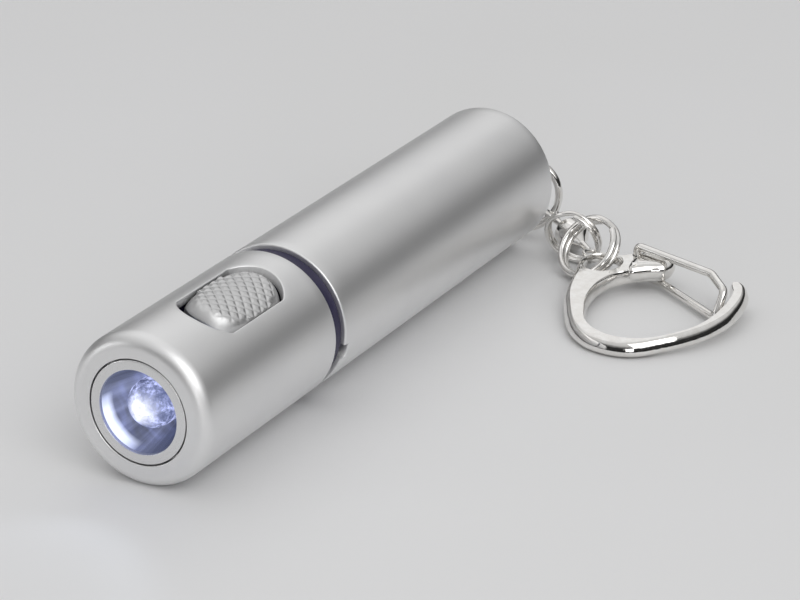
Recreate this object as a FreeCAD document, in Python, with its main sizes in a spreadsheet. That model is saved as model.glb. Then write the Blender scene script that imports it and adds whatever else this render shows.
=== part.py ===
import FreeCAD, Part
import math
import os
import re

import Sketcher

# Keychain flashlight, millimetres.
# The torch lies along Y: its lamp faces -Y and its key ring is at the +Y end.
# The origin is on the tube's axis, half way along the rear barrel, and +Z is up.
# The torch has rolled a little on the surface it lies on, so the switch leans towards +X.
# Every piece of the torch is drawn with its front face at Y = 0 and the switch at +Z,
# and its Placement then rolls it and moves it to where it belongs.

Vector = FreeCAD.Vector
Rotation = FreeCAD.Rotation
Placement = FreeCAD.Placement

doc = FreeCAD.newDocument("KeychainFlashlight")
sheet = doc.addObject("Spreadsheet::Sheet", "Dims")

DIMENSIONS = [
    # tubes
    ("tube_radius", 8.0),
    ("tube_wall", 1.0),
    ("head_length", 24.1),
    ("seam_gap", 1.9),
    ("barrel_length", 46.8),
    ("switch_roll", 16.5),
    ("rim_fillet", 1.5),
    ("edge_chamfer", 0.15),
    ("tail_fillet", 0.45),
    ("tail_wall", 1.2),
    ("notch_width", 1.8),
    ("notch_depth", 0.9),
    # lamp
    ("front_wall", 1.5),
    ("bezel_bore", 5.5),
    ("bezel_clearance", 0.09),
    ("bezel_setback", 0.05),
    ("bezel_lip", 0.45),
    ("bezel_flange_radius", 6.6),
    ("bezel_length", 2.4),
    ("aperture_radius", 4.4),
    ("reflector_radius", 4.8),
    ("reflector_mouth", 4.4),
    ("reflector_throat", 2.62),
    ("reflector_length", 6.9),
    ("reflector_curve", 14.0),
    ("led_radius", 2.5),
    ("led_apex", 0.35),
    ("led_length", 8.65),
    ("led_flange_radius", 2.85),
    ("led_flange_length", 1.0),
    ("led_bore", 1.5),
    ("led_bore_depth", 4.6),
    ("lead_thickness", 0.5),
    ("lead_spacing", 1.27),
    ("lead_length", 2.2),
    ("chip_radius", 0.55),
    ("chip_height", 0.3),
    ("cup_height", 0.9),
    ("holder_radius", 6.85),
    ("holder_length", 2.6),
    ("holder_flat", 3.6),
    # switch
    ("window_half_width", 3.32),
    ("window_front", 7.0),
    ("window_length", 13.6),
    ("window_end_radius", 3.63),
    ("switch_clearance", 0.12),
    ("switch_travel", 1.8),
    ("knob_top", 7.9),
    ("knob_base", 5.2),
    ("knob_slope_length", 1.2),
    ("knob_slope_height", 1.1),
    ("carrier_half_width", 4.2),
    ("carrier_base", 4.0),
    ("carrier_front", 9.4),
    ("carrier_rear", 20.2),
    ("spring_width", 2.4),
    ("spring_gauge", 0.25),
    ("spring_foot", 0.0),
    ("spring_front", 13.35),
    ("spring_rear", 18.6),
    # electrics
    ("board_top", -0.3),
    ("board_thickness", 0.8),
    ("board_half_width", 6.1),
    ("board_front", 10.5),
    ("board_rear", 20.3),
    ("pad_thickness", 0.25),
    ("pad_width", 2.8),
    ("pad_length", 3.2),
    ("coil_radius", 1.6),
    ("coil_height", 2.6),
    ("contact_radius", 4.6),
    ("contact_thickness", 0.4),
    ("strip_width", 2.4),
    ("strip_thickness", 0.25),
    ("strip_clearance", 0.03),
    # battery and its sleeve
    ("sleeve_radius", 6.9),
    ("sleeve_bore", 5.4),
    ("sleeve_front", 20.6),
    ("sleeve_end_wall", 1.0),
    ("sleeve_rear", 69.0),
    ("tray_front", 10.3),
    ("tray_bore", 5.9),
    ("collar_radius", 7.45),
    ("collar_clearance", 0.05),
    ("cell_radius", 5.2),
    ("cell_wrap", 0.12),
    ("cell_front", 22.0),
    ("cell_length", 44.5),
    ("cell_button_radius", 1.9),
    ("cell_button_height", 0.9),
    ("cell_end_rim", 0.4),
    # tail
    ("coil_wire", 0.35),
    ("coil_turns", 3.5),
    ("coil_small_radius", 2.3),
    ("coil_large_radius", 5.6),
    ("coil_gap", 0.1),
    ("stud_shank", 1.1),
    ("stud_head_radius", 1.9),
    ("stud_head_height", 0.6),
    ("ear_radius", 2.15),
    ("ear_hole", 1.25),
    ("ear_thickness", 1.1),
    ("ear_reach", 2.5),
    ("ear_roll", 40.0),
    # chain: how big each ring is, where its centre hangs, and which way it faces
    ("tail_ring_radius", 4.08),
    ("tail_ring_wire", 0.45),
    ("tail_ring_x", 2.64),
    ("tail_ring_y", 26.63),
    ("tail_ring_z", -3.03),
    ("tail_ring_yaw", 20.2),
    ("tail_ring_lean", 4.3),
    ("tail_ring_grip", -37.0),
    ("link_ring_radius", 3.18),
    ("link_ring_wire", 0.28),
    ("link_ring_x", 11.85),
    ("link_ring_y", 20.88),
    ("link_ring_z", -4.5),
    ("link_ring_yaw", -1.7),
    ("link_ring_lean", -17.6),
    ("link_ring_pitch", 0.57),
    ("link_ring_crossing", 100.0),
    ("link_ring_step", 22.0),
    ("link_ring_grip", 319.0),
    ("split_ring_radius", 3.49),
    ("split_ring_wire", 0.38),
    ("split_ring_x", 14.73),
    ("split_ring_y", 19.08),
    ("split_ring_z", -4.65),
    ("split_ring_yaw", -21.9),
    ("split_ring_lean", 40.6),
    ("split_ring_pitch", 0.8),
    ("split_ring_crossing", 78.0),
    ("split_ring_step", 22.0),
    ("eye_loop_radius", 0.95),
    ("eye_loop_wire", 0.3),
    ("link_loop_radius", 1.18),
    ("link_loop_wire", 0.26),
    ("swivel_shank", 0.38),
    ("swivel_ball", 0.9),
    ("swivel_ball_reach", 5.2),
    ("swivel_cup_start", 3.9),
    ("swivel_cup_length", 3.0),
    ("swivel_cup_radius", 1.7),
    ("swivel_cup_wall", 0.35),
    ("swivel_mouth", 0.6),
    ("swivel_neck", 0.45),
    ("swivel_neck_length", 2.5),
    # clip
    ("clip_x", 17.2),
    ("clip_y", 17.3),
    ("table_level", -8.0),
    ("clip_lift", 1.22),
    ("clip_tilt", 3.9),
    ("clip_thickness", 1.75),
    ("clip_post_rise", 0.55),
    ("clip_relief", 0.6),
    ("clip_eye_radius", 2.1),
    ("clip_lug_radius", 2.85),
    ("clip_notch_radius", 0.62),
    ("gate_wire", 0.46),
    ("gate_pin_clearance", 0.11),
    ("gate_pin_x", 2.9),
    ("gate_pin_y", 3.1),
    ("gate_notch_x", 15.75),
    ("gate_notch_y", -2.3),
    ("gate_low", -0.5),
    ("gate_high", 2.85),
    ("gate_bend", 0.6),
]

for row, (alias, number) in enumerate(DIMENSIONS, start=1):
    sheet.set(f"A{row}", alias.replace("_", " "))
    sheet.set(f"B{row}", str(number))
    sheet.setAlias(f"B{row}", alias)
doc.recompute()

ALIAS_WORD = re.compile(r"\b([a-z]+(?:_[a-z]+)+)\b")
nodes = {}


def size(alias):
    """The number in the sheet under this alias."""
    return float(sheet.get(alias))


def formula(text):
    """An expression in sheet words, written the way FreeCAD wants it."""
    return ALIAS_WORD.sub(r"Dims.\1", text)


def keep(label, piece):
    """Give a finished sub-part its name and list it for export."""
    piece.Label = label
    nodes[label] = piece
    return piece


# ---------------------------------------------------------------- sketches and bodies

def origin_plane(body, role):
    """One of the body's own origin planes, such as XY_Plane."""
    for feature in body.Origin.OriginFeatures:
        if feature.Role == role:
            return feature
    raise ValueError(role)


def new_sketch(body, role, name):
    sketch = body.newObject("Sketcher::SketchObject", name)
    sketch.AttachmentSupport = [(origin_plane(body, role), "")]
    sketch.MapMode = "FlatFace"
    return sketch


def pin_point(sketch, edge, vertex, across, up):
    """Hold one end of an edge at a place given by two sheet formulas."""
    for kind, text in (("DistanceX", across), ("DistanceY", up)):
        constraint = Sketcher.Constraint(kind, -1, 1, edge, vertex, 1.0)
        index = sketch.addConstraint(constraint)
        sketch.setExpression(f"Constraints[{index}]", formula(text))


def closed_profile(sketch, corners):
    """Straight edges through the corners, each corner a pair of sheet formulas."""
    count = len(corners)
    first = sketch.GeometryCount
    ring = []
    for index in range(count):
        angle = 2 * math.pi * index / count
        ring.append(Vector(10 * math.cos(angle), 10 * math.sin(angle), 0))
    for index in range(count):
        sketch.addGeometry(Part.LineSegment(ring[index], ring[(index + 1) % count]), False)
    for index in range(count):
        following = first + (index + 1) % count
        sketch.addConstraint(Sketcher.Constraint("Coincident", first + index, 2, following, 1))
    for index, (across, up) in enumerate(corners):
        pin_point(sketch, first + index, 1, across, up)


def revolved_body(label, corners):
    """A turned piece: the profile holds distance along Y, then radius."""
    body = doc.addObject("PartDesign::Body", label.title().replace("_", ""))
    sketch = new_sketch(body, "YZ_Plane", "Profile")
    closed_profile(sketch, corners)
    turned = body.newObject("PartDesign::Revolution", "Turned")
    turned.Profile = sketch
    turned.ReferenceAxis = (sketch, ["H_Axis"])
    turned.Angle = 360
    body.Tip = turned
    return keep(label, body)


def edges_where(shape, test):
    return [f"Edge{index + 1}" for index, edge in enumerate(shape.Edges) if test(edge)]


def dress(body, kind, value, test):
    """Add a Fillet or Chamfer on the edges that pass the test."""
    doc.recompute()
    names = edges_where(body.Tip.Shape, test)
    base = body.Tip
    dressing = body.newObject(f"PartDesign::{kind}", kind)
    dressing.Base = (base, names)
    dressing.setExpression("Radius" if kind == "Fillet" else "Size", formula(value))
    body.Tip = dressing
    doc.recompute()
    return dressing


def circle_at(radius, along):
    """A test for full circles of this radius round the Y axis at this distance along it."""
    def test(edge):
        if not isinstance(edge.Curve, Part.Circle):
            return False
        return abs(edge.Curve.Radius - radius) < 0.02 and abs(edge.Curve.Center.y - along) < 0.02
    return test


def pocket(body, sketch, upwards):
    """Cut the sketch right through the body on one side of its plane."""
    before = body.Tip.Shape.Volume
    cut = body.newObject("PartDesign::Pocket", "Cut")
    cut.Profile = sketch
    cut.Type = "ThroughAll"
    cut.Reversed = upwards
    body.Tip = cut
    doc.recompute()
    if cut.Shape.Volume > before - 1e-3:
        raise ValueError(f"{body.Label}: the pocket removes nothing")
    return cut


def rounded_window(sketch, half_width, front, rear):
    """Straight sides along Y joined by arcs that bulge outwards.

    half_width, front and rear are pairs: the number, then its sheet formula.
    """
    radius = size("window_end_radius")
    centres = (front[0] + radius, rear[0] - radius)
    reach = math.sqrt(radius ** 2 - half_width[0] ** 2)
    spread = math.acos(half_width[0] / radius)
    corner_front = centres[0] - reach
    corner_rear = centres[1] + reach
    up = Vector(0, 0, 1)
    right = Part.LineSegment(
        Vector(half_width[0], corner_front, 0), Vector(half_width[0], corner_rear, 0))
    left = Part.LineSegment(
        Vector(-half_width[0], corner_rear, 0), Vector(-half_width[0], corner_front, 0))
    rear_circle = Part.Circle(Vector(0, centres[1], 0), up, radius)
    front_circle = Part.Circle(Vector(0, centres[0], 0), up, radius)
    rear_arc = Part.ArcOfCircle(rear_circle, spread, math.pi - spread)
    front_arc = Part.ArcOfCircle(front_circle, math.pi + spread, 2 * math.pi - spread)
    for edge in (right, rear_arc, left, front_arc):
        sketch.addGeometry(edge, False)
    for first, second in ((0, 1), (1, 2), (2, 3), (3, 0)):
        sketch.addConstraint(Sketcher.Constraint("Coincident", first, 2, second, 1))
    for line, side in ((0, 1), (2, -1)):
        sketch.addConstraint(Sketcher.Constraint("Vertical", line))
        constraint = Sketcher.Constraint("DistanceX", -1, 1, line, 1, side * half_width[0])
        index = sketch.addConstraint(constraint)
        sketch.setExpression(f"Constraints[{index}]", formula(f"{side} * ({half_width[1]})"))
    centre_formulas = (
        (1, centres[1], f"{rear[1]} - window_end_radius"),
        (3, centres[0], f"{front[1]} + window_end_radius"))
    for arc, along, text in centre_formulas:
        sketch.addConstraint(Sketcher.Constraint("PointOnObject", arc, 3, -2))
        index = sketch.addConstraint(Sketcher.Constraint("DistanceY", -1, 1, arc, 3, along))
        sketch.setExpression(f"Constraints[{index}]", formula(text))
        index = sketch.addConstraint(Sketcher.Constraint("Radius", arc, radius))
        sketch.setExpression(f"Constraints[{index}]", formula("window_end_radius"))


def new_box(name, across, along, up):
    """A Part box from pairs of sheet formulas: lowest corner, then length, on X, Y and Z."""
    box = doc.addObject("Part::Box", name)
    for axis, edge, (start, length) in zip("xyz", ("Length", "Width", "Height"), (across, along, up)):
        box.setExpression(f"Placement.Base.{axis}", formula(start))
        box.setExpression(edge, formula(length))
    return box


def new_cylinder(name, radius, height, base, direction):
    """A Part cylinder from sheet formulas, standing on base and pointing along direction."""
    cylinder = doc.addObject("Part::Cylinder", name)
    cylinder.Placement = Placement(Vector(), Rotation(Vector(0, 0, 1), direction))
    cylinder.setExpression("Radius", formula(radius))
    cylinder.setExpression("Height", formula(height))
    for axis, text in zip("xyz", base):
        cylinder.setExpression(f"Placement.Base.{axis}", formula(text))
    return cylinder


def group(label, pieces):
    """Several separate solids that share one node."""
    compound = doc.addObject("Part::Compound", label.title().replace("_", ""))
    compound.Links = pieces
    return keep(label, compound)


def joined(label, pieces):
    """Several solids fused into one piece."""
    fusion = doc.addObject("Part::MultiFuse", label.title().replace("_", ""))
    fusion.Shapes = pieces
    return keep(label, fusion)


FRONT_OFFSET = "head_length + seam_gap + barrel_length / 2"


def front_offset():
    """Distance from the front face to the origin."""
    return size("head_length") + size("seam_gap") + size("barrel_length") / 2


def place_in_torch(piece):
    """Roll a piece of the torch with the switch and bring it to its place along the axis."""
    piece.Placement = Placement(Vector(0, -front_offset(), 0), Rotation(Vector(0, 1, 0), 16.5))
    piece.setExpression("Placement.Base.y", formula(f"-({FRONT_OFFSET})"))
    piece.setExpression("Placement.Rotation.Angle", formula("switch_roll"))


# ---------------------------------------------------------------- tubes

def make_head_shell():
    """Front tube with a rounded rim, a bore for the bezel and the switch window."""
    body = revolved_body("head_shell", [
        ("0", "bezel_bore + edge_chamfer"),
        ("0", "tube_radius"),
        ("head_length", "tube_radius"),
        ("head_length", "tube_radius - tube_wall"),
        ("front_wall", "tube_radius - tube_wall"),
        ("front_wall", "bezel_bore"),
        ("edge_chamfer", "bezel_bore"),
    ])
    dress(body, "Fillet", "rim_fillet", circle_at(size("tube_radius"), 0))
    dress(body, "Chamfer", "edge_chamfer", circle_at(size("tube_radius"), size("head_length")))
    window = new_sketch(body, "XY_Plane", "Window")
    rear = size("window_front") + size("window_length")
    rounded_window(
        window,
        (size("window_half_width"), "window_half_width"),
        (size("window_front"), "window_front"),
        (rear, "window_front + window_length"))
    pocket(body, window, True)
    place_in_torch(body)


def make_rear_barrel():
    """Rear tube, closed at the tail, with a small notch in its front rim."""
    start = "head_length + seam_gap"
    end = "head_length + seam_gap + barrel_length"
    body = revolved_body("rear_barrel", [
        (start, "tube_radius - tube_wall"),
        (start, "tube_radius"),
        (end, "tube_radius"),
        (end, "stud_shank + bezel_setback"),
        (f"{end} - tail_wall", "stud_shank + bezel_setback"),
        (f"{end} - tail_wall", "tube_radius - tube_wall"),
    ])
    first = size("head_length") + size("seam_gap")
    last = first + size("barrel_length")
    dress(body, "Chamfer", "edge_chamfer", circle_at(size("tube_radius"), first))
    dress(body, "Fillet", "tail_fillet", circle_at(size("tube_radius"), last))
    notch = new_sketch(body, "YZ_Plane", "Notch")
    closed_profile(notch, [
        (f"{start} - notch_depth", "-notch_width / 2"),
        (f"{start} + notch_depth", "-notch_width / 2"),
        (f"{start} + notch_depth", "notch_width / 2"),
        (f"{start} - notch_depth", "notch_width / 2"),
    ])
    pocket(body, notch, True)
    place_in_torch(body)


# ---------------------------------------------------------------- lamp

def make_bezel_ring():
    """Flat ring round the lamp, held behind the front wall by its flange."""
    body = revolved_body("bezel_ring", [
        ("bezel_setback", "aperture_radius"),
        ("bezel_setback", "bezel_bore - bezel_clearance - edge_chamfer"),
        ("bezel_setback + edge_chamfer", "bezel_bore - bezel_clearance"),
        ("front_wall", "bezel_bore - bezel_clearance"),
        ("front_wall", "bezel_flange_radius"),
        ("bezel_length", "bezel_flange_radius"),
        ("bezel_length", "reflector_radius"),
        ("bezel_setback + bezel_lip", "reflector_radius"),
        ("bezel_setback + bezel_lip", "aperture_radius"),
    ])
    place_in_torch(body)


def make_reflector():
    """Bright cone between the bezel's lip and the LED."""
    front = "bezel_setback + bezel_lip"
    middle = "bezel_setback + bezel_lip + reflector_length / 2"
    rear = "bezel_setback + bezel_lip + reflector_length"
    waist = "(reflector_mouth + reflector_throat) / 2 + reflector_mouth / reflector_curve"
    body = revolved_body("reflector", [
        (front, "reflector_mouth"),
        (front, "reflector_radius"),
        (rear, "reflector_radius"),
        (rear, "reflector_throat"),
        (middle, waist),
    ])
    place_in_torch(body)


def make_led():
    """Clear epoxy body with a round nose, a rear flange and a bore that holds the lead frame."""
    nose = size("led_apex") + size("led_radius")
    rear = size("led_apex") + size("led_length")
    flange = "led_apex + led_length - led_flange_length"
    body = revolved_body("led_lens", [
        ("led_apex", "0"),
        ("led_apex", "led_radius"),
        (flange, "led_radius"),
        (flange, "led_flange_radius"),
        ("led_apex + led_length", "led_flange_radius"),
        ("led_apex + led_length", "led_bore"),
        ("led_apex + led_length - led_bore_depth", "led_bore"),
        ("led_apex + led_length - led_bore_depth", "0"),
    ])
    nose_fillet = dress(body, "Fillet", "led_radius - 0.01", circle_at(size("led_radius"), size("led_apex")))
    if abs(nose_fillet.Shape.BoundBox.YMin - size("led_apex")) > 0.01 or nose > rear:
        raise ValueError("the LED's nose is not round")
    place_in_torch(body)

    cup_front = "led_apex + led_length - led_bore_depth"
    cup = new_cylinder(
        "LedCup", "led_bore - 0.4", "cup_height", ("0", f"{cup_front} + chip_height", "0"), Vector(0, 1, 0))
    leads = [cup]
    post_length = "led_bore_depth - chip_height - cup_height + lead_length + 0.1"
    for side in ("", "-"):
        leads.append(new_box(
            "LedLead",
            (f"{side}lead_spacing - lead_thickness / 2", "lead_thickness"),
            (f"{cup_front} + chip_height + cup_height - 0.1", post_length),
            ("-lead_thickness / 2", "lead_thickness")))
        leads[-1].setExpression(
            "Placement.Base.x", formula(f"{side}0.75 * lead_spacing - lead_thickness / 2"))
    place_in_torch(joined("led_leads", leads))

    chip = new_cylinder(
        "LedChip", "chip_radius", "chip_height", ("0", cup_front, "0"), Vector(0, 1, 0))
    place_chip = joined_single("led_chip", chip)
    place_in_torch(place_chip)


def joined_single(label, piece):
    """One Part primitive as a node of its own, wrapped so that it can be rolled and moved."""
    compound = doc.addObject("Part::Compound", label.title().replace("_", "") + "Node")
    compound.Links = [piece]
    return keep(label, compound)


def make_led_holder():
    """Plastic disc that centres the LED, cut flat on top to clear the switch."""
    front = "bezel_setback + bezel_lip + reflector_length + bezel_setback"
    seat = "led_apex + led_length"
    body = revolved_body("led_holder", [
        (front, "led_radius + edge_chamfer"),
        (front, "holder_radius"),
        (f"{front} + holder_length", "holder_radius"),
        (f"{front} + holder_length", "led_bore + lead_thickness"),
        (seat, "led_bore + lead_thickness"),
        (seat, "led_flange_radius + bezel_setback"),
        (f"{seat} - led_flange_length", "led_flange_radius + bezel_setback"),
        (f"{seat} - led_flange_length", "led_radius + edge_chamfer"),
    ])
    flat = new_sketch(body, "YZ_Plane", "Flat")
    closed_profile(flat, [
        ("0", "holder_flat"),
        ("head_length", "holder_flat"),
        ("head_length", "tube_radius"),
        ("0", "tube_radius"),
    ])
    doc.recompute()
    cut = body.newObject("PartDesign::Pocket", "Cut")
    cut.Profile = flat
    cut.Type = "ThroughAll"
    cut.Midplane = True
    body.Tip = cut
    place_in_torch(body)


# ---------------------------------------------------------------- switch

def make_switch_knob():
    """Sliding knob that fills the window, its top rounded with the tube; it rests at the rear."""
    body = doc.addObject("PartDesign::Body", "SwitchKnob")
    outline = new_sketch(body, "XY_Plane", "Outline")
    clearance = size("switch_clearance")
    rear = size("window_front") + size("window_length") - clearance
    front = size("window_front") + clearance + size("switch_travel")
    rounded_window(
        outline,
        (size("window_half_width") - clearance, "window_half_width - switch_clearance"),
        (front, "window_front + switch_clearance + switch_travel"),
        (rear, "window_front + window_length - switch_clearance"))
    block = body.newObject("PartDesign::Pad", "Block")
    block.Profile = outline
    block.setExpression("Length", formula("knob_top"))
    body.Tip = block
    base = new_sketch(body, "YZ_Plane", "Underside")
    closed_profile(base, [
        ("0", "-1"),
        ("head_length", "-1"),
        ("head_length", "knob_base"),
        ("0", "knob_base"),
    ])
    doc.recompute()
    cut = body.newObject("PartDesign::Pocket", "Cut")
    cut.Profile = base
    cut.Type = "ThroughAll"
    cut.Midplane = True
    body.Tip = cut
    slopes = new_sketch(body, "YZ_Plane", "EndSlopes")
    front_end = "window_front + switch_clearance + switch_travel"
    rear_end = "window_front + window_length - switch_clearance"
    for end, sign in ((front_end, "+"), (rear_end, "-")):
        closed_profile(slopes, [
            (f"{end}", "knob_top - knob_slope_height"),
            (f"{end} {sign} 0.35 * knob_slope_length", "knob_top - 0.4 * knob_slope_height"),
            (f"{end} {sign} knob_slope_length", "knob_top"),
            (f"{end} {sign} knob_slope_length", "knob_top + 1"),
            (f"{end}", "knob_top + 1"),
        ])
    doc.recompute()
    cut = body.newObject("PartDesign::Pocket", "CutEnds")
    cut.Profile = slopes
    cut.Type = "ThroughAll"
    cut.Midplane = True
    body.Tip = cut
    crown = new_sketch(body, "YZ_Plane", "Crown")
    closed_profile(crown, [
        ("0", "knob_top"),
        ("head_length", "knob_top"),
        ("head_length", "knob_top + 3"),
        ("0", "knob_top + 3"),
    ])
    doc.recompute()
    rounding = body.newObject("PartDesign::Groove", "Rounding")
    rounding.Profile = crown
    rounding.ReferenceAxis = (crown, ["H_Axis"])
    rounding.Angle = 360
    body.Tip = rounding
    keep("switch_knob", body)
    place_in_torch(body)


def make_switch_inside():
    """Carrier plate under the knob and the bronze leaf that bridges the pads."""
    carrier = new_box(
        "Carrier",
        ("-carrier_half_width", "2 * carrier_half_width"),
        ("carrier_front", "carrier_rear - carrier_front"),
        ("carrier_base", "knob_base - carrier_base"))
    place_in_torch(joined_single("slider_carrier", carrier))

    leaf = doc.addObject("PartDesign::Body", "SliderContact")
    side = new_sketch(leaf, "YZ_Plane", "Leaf")
    middle = "(spring_front + spring_rear) / 2"
    foot = "spring_foot"
    closed_profile(side, [
        (f"{middle} - 1.2", "carrier_base"),
        ("spring_front", f"{foot} + 2 * spring_gauge"),
        ("spring_front", foot),
        ("spring_front + 0.9", foot),
        (f"{middle} - 1.2 + spring_gauge", "carrier_base - spring_gauge"),
        (f"{middle} + 1.2 - spring_gauge", "carrier_base - spring_gauge"),
        ("spring_rear - 0.9", foot),
        ("spring_rear", foot),
        ("spring_rear", f"{foot} + 2 * spring_gauge"),
        (f"{middle} + 1.2", "carrier_base"),
    ])
    band = leaf.newObject("PartDesign::Pad", "Band")
    band.Profile = side
    band.Midplane = True
    band.setExpression("Length", formula("spring_width"))
    leaf.Tip = band
    keep("slider_contact", leaf)
    place_in_torch(leaf)


# ---------------------------------------------------------------- electrics

def make_electrics():
    """Driver board on the sleeve's tray, what is soldered to it, and the battery contacts."""
    board = new_box(
        "Board",
        ("-board_half_width", "2 * board_half_width"),
        ("board_front", "board_rear - board_front"),
        ("board_top - board_thickness", "board_thickness"))
    place_in_torch(joined_single("driver_board", board))

    pads = []
    for end in ("spring_front - 0.9", "spring_rear + 0.9 - pad_length"):
        pads.append(new_box(
            "Pad", ("-pad_width / 2", "pad_width"), (end, "pad_length"), ("board_top", "pad_thickness")))
    place_in_torch(group("switch_pads", pads))

    under = "board_top - board_thickness"
    coil = new_cylinder(
        "Coil", "coil_radius", "coil_height", ("-1.6", "13.2", f"{under} - coil_height"), Vector(0, 0, 1))
    place_in_torch(joined_single("boost_coil", coil))

    chips = [
        new_box("Chip", ("0.8", "2.9"), ("12", "1.6"), (f"{under} - 1.1", "1.1")),
        new_box("Capacitor", ("0.8", "1.6"), ("15.6", "1.0"), (f"{under} - 0.8", "0.8")),
        new_box("Resistor", ("-2.6", "1.6"), ("17.2", "0.8"), (f"{under} - 0.5", "0.5")),
    ]
    place_in_torch(group("driver_parts", chips))

    plate = new_cylinder(
        "Plate", "contact_radius", "contact_thickness",
        ("0", "cell_front - contact_thickness", "0"), Vector(0, 1, 0))
    tab = new_box(
        "Tab",
        ("-1", "2"),
        ("board_rear - 0.7", "cell_front - board_rear + 0.7 - contact_thickness / 2"),
        ("board_top", "0.25"))
    place_in_torch(joined("positive_contact", [plate, tab]))

    strip = new_box(
        "Strip",
        ("-strip_width / 2", "strip_width"),
        ("tray_front", "sleeve_rear - tray_front"),
        ("-(sleeve_radius - 0.1)", "strip_thickness"))
    place_in_torch(joined_single("negative_strip", strip))


# ---------------------------------------------------------------- battery and its sleeve

def make_sleeve():
    """Plastic sleeve that holds the cell, with the collar in the seam and a tray for the board."""
    collar_front = "head_length + collar_clearance"
    collar_rear = "head_length + seam_gap - collar_clearance"
    body = revolved_body("battery_sleeve", [
        ("tray_front", "tray_bore"),
        ("tray_front", "sleeve_radius"),
        (collar_front, "sleeve_radius"),
        (collar_front, "collar_radius"),
        (collar_rear, "collar_radius"),
        (collar_rear, "sleeve_radius"),
        ("sleeve_rear", "sleeve_radius"),
        ("sleeve_rear", "sleeve_bore"),
        ("cell_front - contact_thickness", "sleeve_bore"),
        ("cell_front - contact_thickness", "contact_radius - 1"),
        ("sleeve_front", "contact_radius - 1"),
        ("sleeve_front", "tray_bore"),
    ])
    opening = new_sketch(body, "YZ_Plane", "TrayOpening")
    closed_profile(opening, [
        ("0", "board_top - board_thickness"),
        ("sleeve_front", "board_top - board_thickness"),
        ("sleeve_front", "tube_radius"),
        ("0", "tube_radius"),
    ])
    doc.recompute()
    cut = body.newObject("PartDesign::Pocket", "CutTray")
    cut.Profile = opening
    cut.Type = "ThroughAll"
    cut.Midplane = True
    body.Tip = cut
    groove = new_sketch(body, "YZ_Plane", "StripGroove")
    groove_floor = "-(sleeve_radius - 0.1 - strip_thickness - strip_clearance)"
    closed_profile(groove, [
        ("tray_front - 1", "-(sleeve_radius + strip_clearance)"),
        ("sleeve_rear + 1", "-(sleeve_radius + strip_clearance)"),
        ("sleeve_rear + 1", groove_floor),
        ("tray_front - 1", groove_floor),
    ])
    doc.recompute()
    before = body.Tip.Shape.Volume
    cut = body.newObject("PartDesign::Pocket", "CutGroove")
    cut.Profile = groove
    cut.Midplane = True
    cut.setExpression("Length", formula("strip_width + 2 * strip_clearance"))
    body.Tip = cut
    doc.recompute()
    if cut.Shape.Volume > before - 1:
        raise ValueError("the sleeve has no groove for the strip")
    place_in_torch(body)


def make_cell():
    """Single cell: steel can, printed wrap and the positive button."""
    rear = "cell_front + cell_length"
    shoulder = "cell_front + cell_button_height"
    inner = "cell_radius - cell_wrap"
    can = revolved_body("cell_can", [
        (shoulder, "0"),
        (shoulder, inner),
        (rear, inner),
        (rear, "0"),
    ])
    place_in_torch(can)
    wrap = revolved_body("cell_wrap", [
        (f"{shoulder} + cell_end_rim", inner),
        (f"{shoulder} + cell_end_rim", "cell_radius"),
        (f"{rear} - cell_end_rim", "cell_radius"),
        (f"{rear} - cell_end_rim", inner),
    ])
    place_in_torch(wrap)
    button = new_cylinder(
        "Button", "cell_button_radius", "cell_button_height", ("0", "cell_front", "0"), Vector(0, 1, 0))
    place_in_torch(joined_single("cell_button", button))


# ---------------------------------------------------------------- tail

def make_tail_spring():
    """Conical wire spring between the cell and the barrel's end wall."""
    wire = size("coil_wire")
    front = size("cell_front") + size("cell_length") + size("coil_gap") + wire
    rear = front_offset() + size("barrel_length") / 2 - size("tail_wall") - wire - 0.05
    height = rear - front
    small = size("coil_small_radius")
    large = size("coil_large_radius")
    cone = math.degrees(math.atan2(large - small, height))
    helix = Part.makeHelix(height / size("coil_turns"), height, small, cone)
    section = Part.Wire(Part.makeCircle(wire, Vector(small, 0, 0), Vector(0, 1, 0)))
    coil = Part.Wire(helix.Edges).makePipeShell([section], True, True)
    along_tube = Placement(Vector(0, front, 0), Rotation(Vector(1, 0, 0), -90))
    spring = doc.addObject("Part::Feature", "TailSpring")
    spring.Shape = coil.transformed(along_tube.toMatrix(), True)
    keep("tail_spring", spring)
    place_in_torch(spring)


def make_tail_stud():
    """Rivet through the end wall, with a flat ear behind it for the first ring."""
    start = "barrel_length / 2 - tail_wall - stud_head_height"
    head = new_cylinder(
        "StudHead", "stud_head_radius", "stud_head_height", ("0", start, "0"), Vector(0, 1, 0))
    shank = new_cylinder(
        "StudShank", "stud_shank", "tail_wall + stud_head_height + ear_reach - ear_hole - 0.35",
        ("0", start, "0"), Vector(0, 1, 0))
    ear = new_cylinder(
        "Ear", "ear_radius", "ear_thickness",
        ("0", "barrel_length / 2 + ear_reach", "-ear_thickness / 2"), Vector(0, 0, 1))
    solid = doc.addObject("Part::MultiFuse", "StudSolid")
    solid.Shapes = [head, shank, ear]
    hole = new_cylinder(
        "EarHole", "ear_hole", "4 * ear_thickness",
        ("0", "barrel_length / 2 + ear_reach", "-2 * ear_thickness"), Vector(0, 0, 1))
    stud = doc.addObject("Part::Cut", "TailStud")
    stud.Base = solid
    stud.Tool = hole
    stud.Placement = Placement(Vector(), Rotation(Vector(0, 1, 0), 40))
    stud.setExpression("Placement.Rotation.Angle", formula("ear_roll"))
    keep("tail_stud", stud)


# ---------------------------------------------------------------- chain

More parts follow.
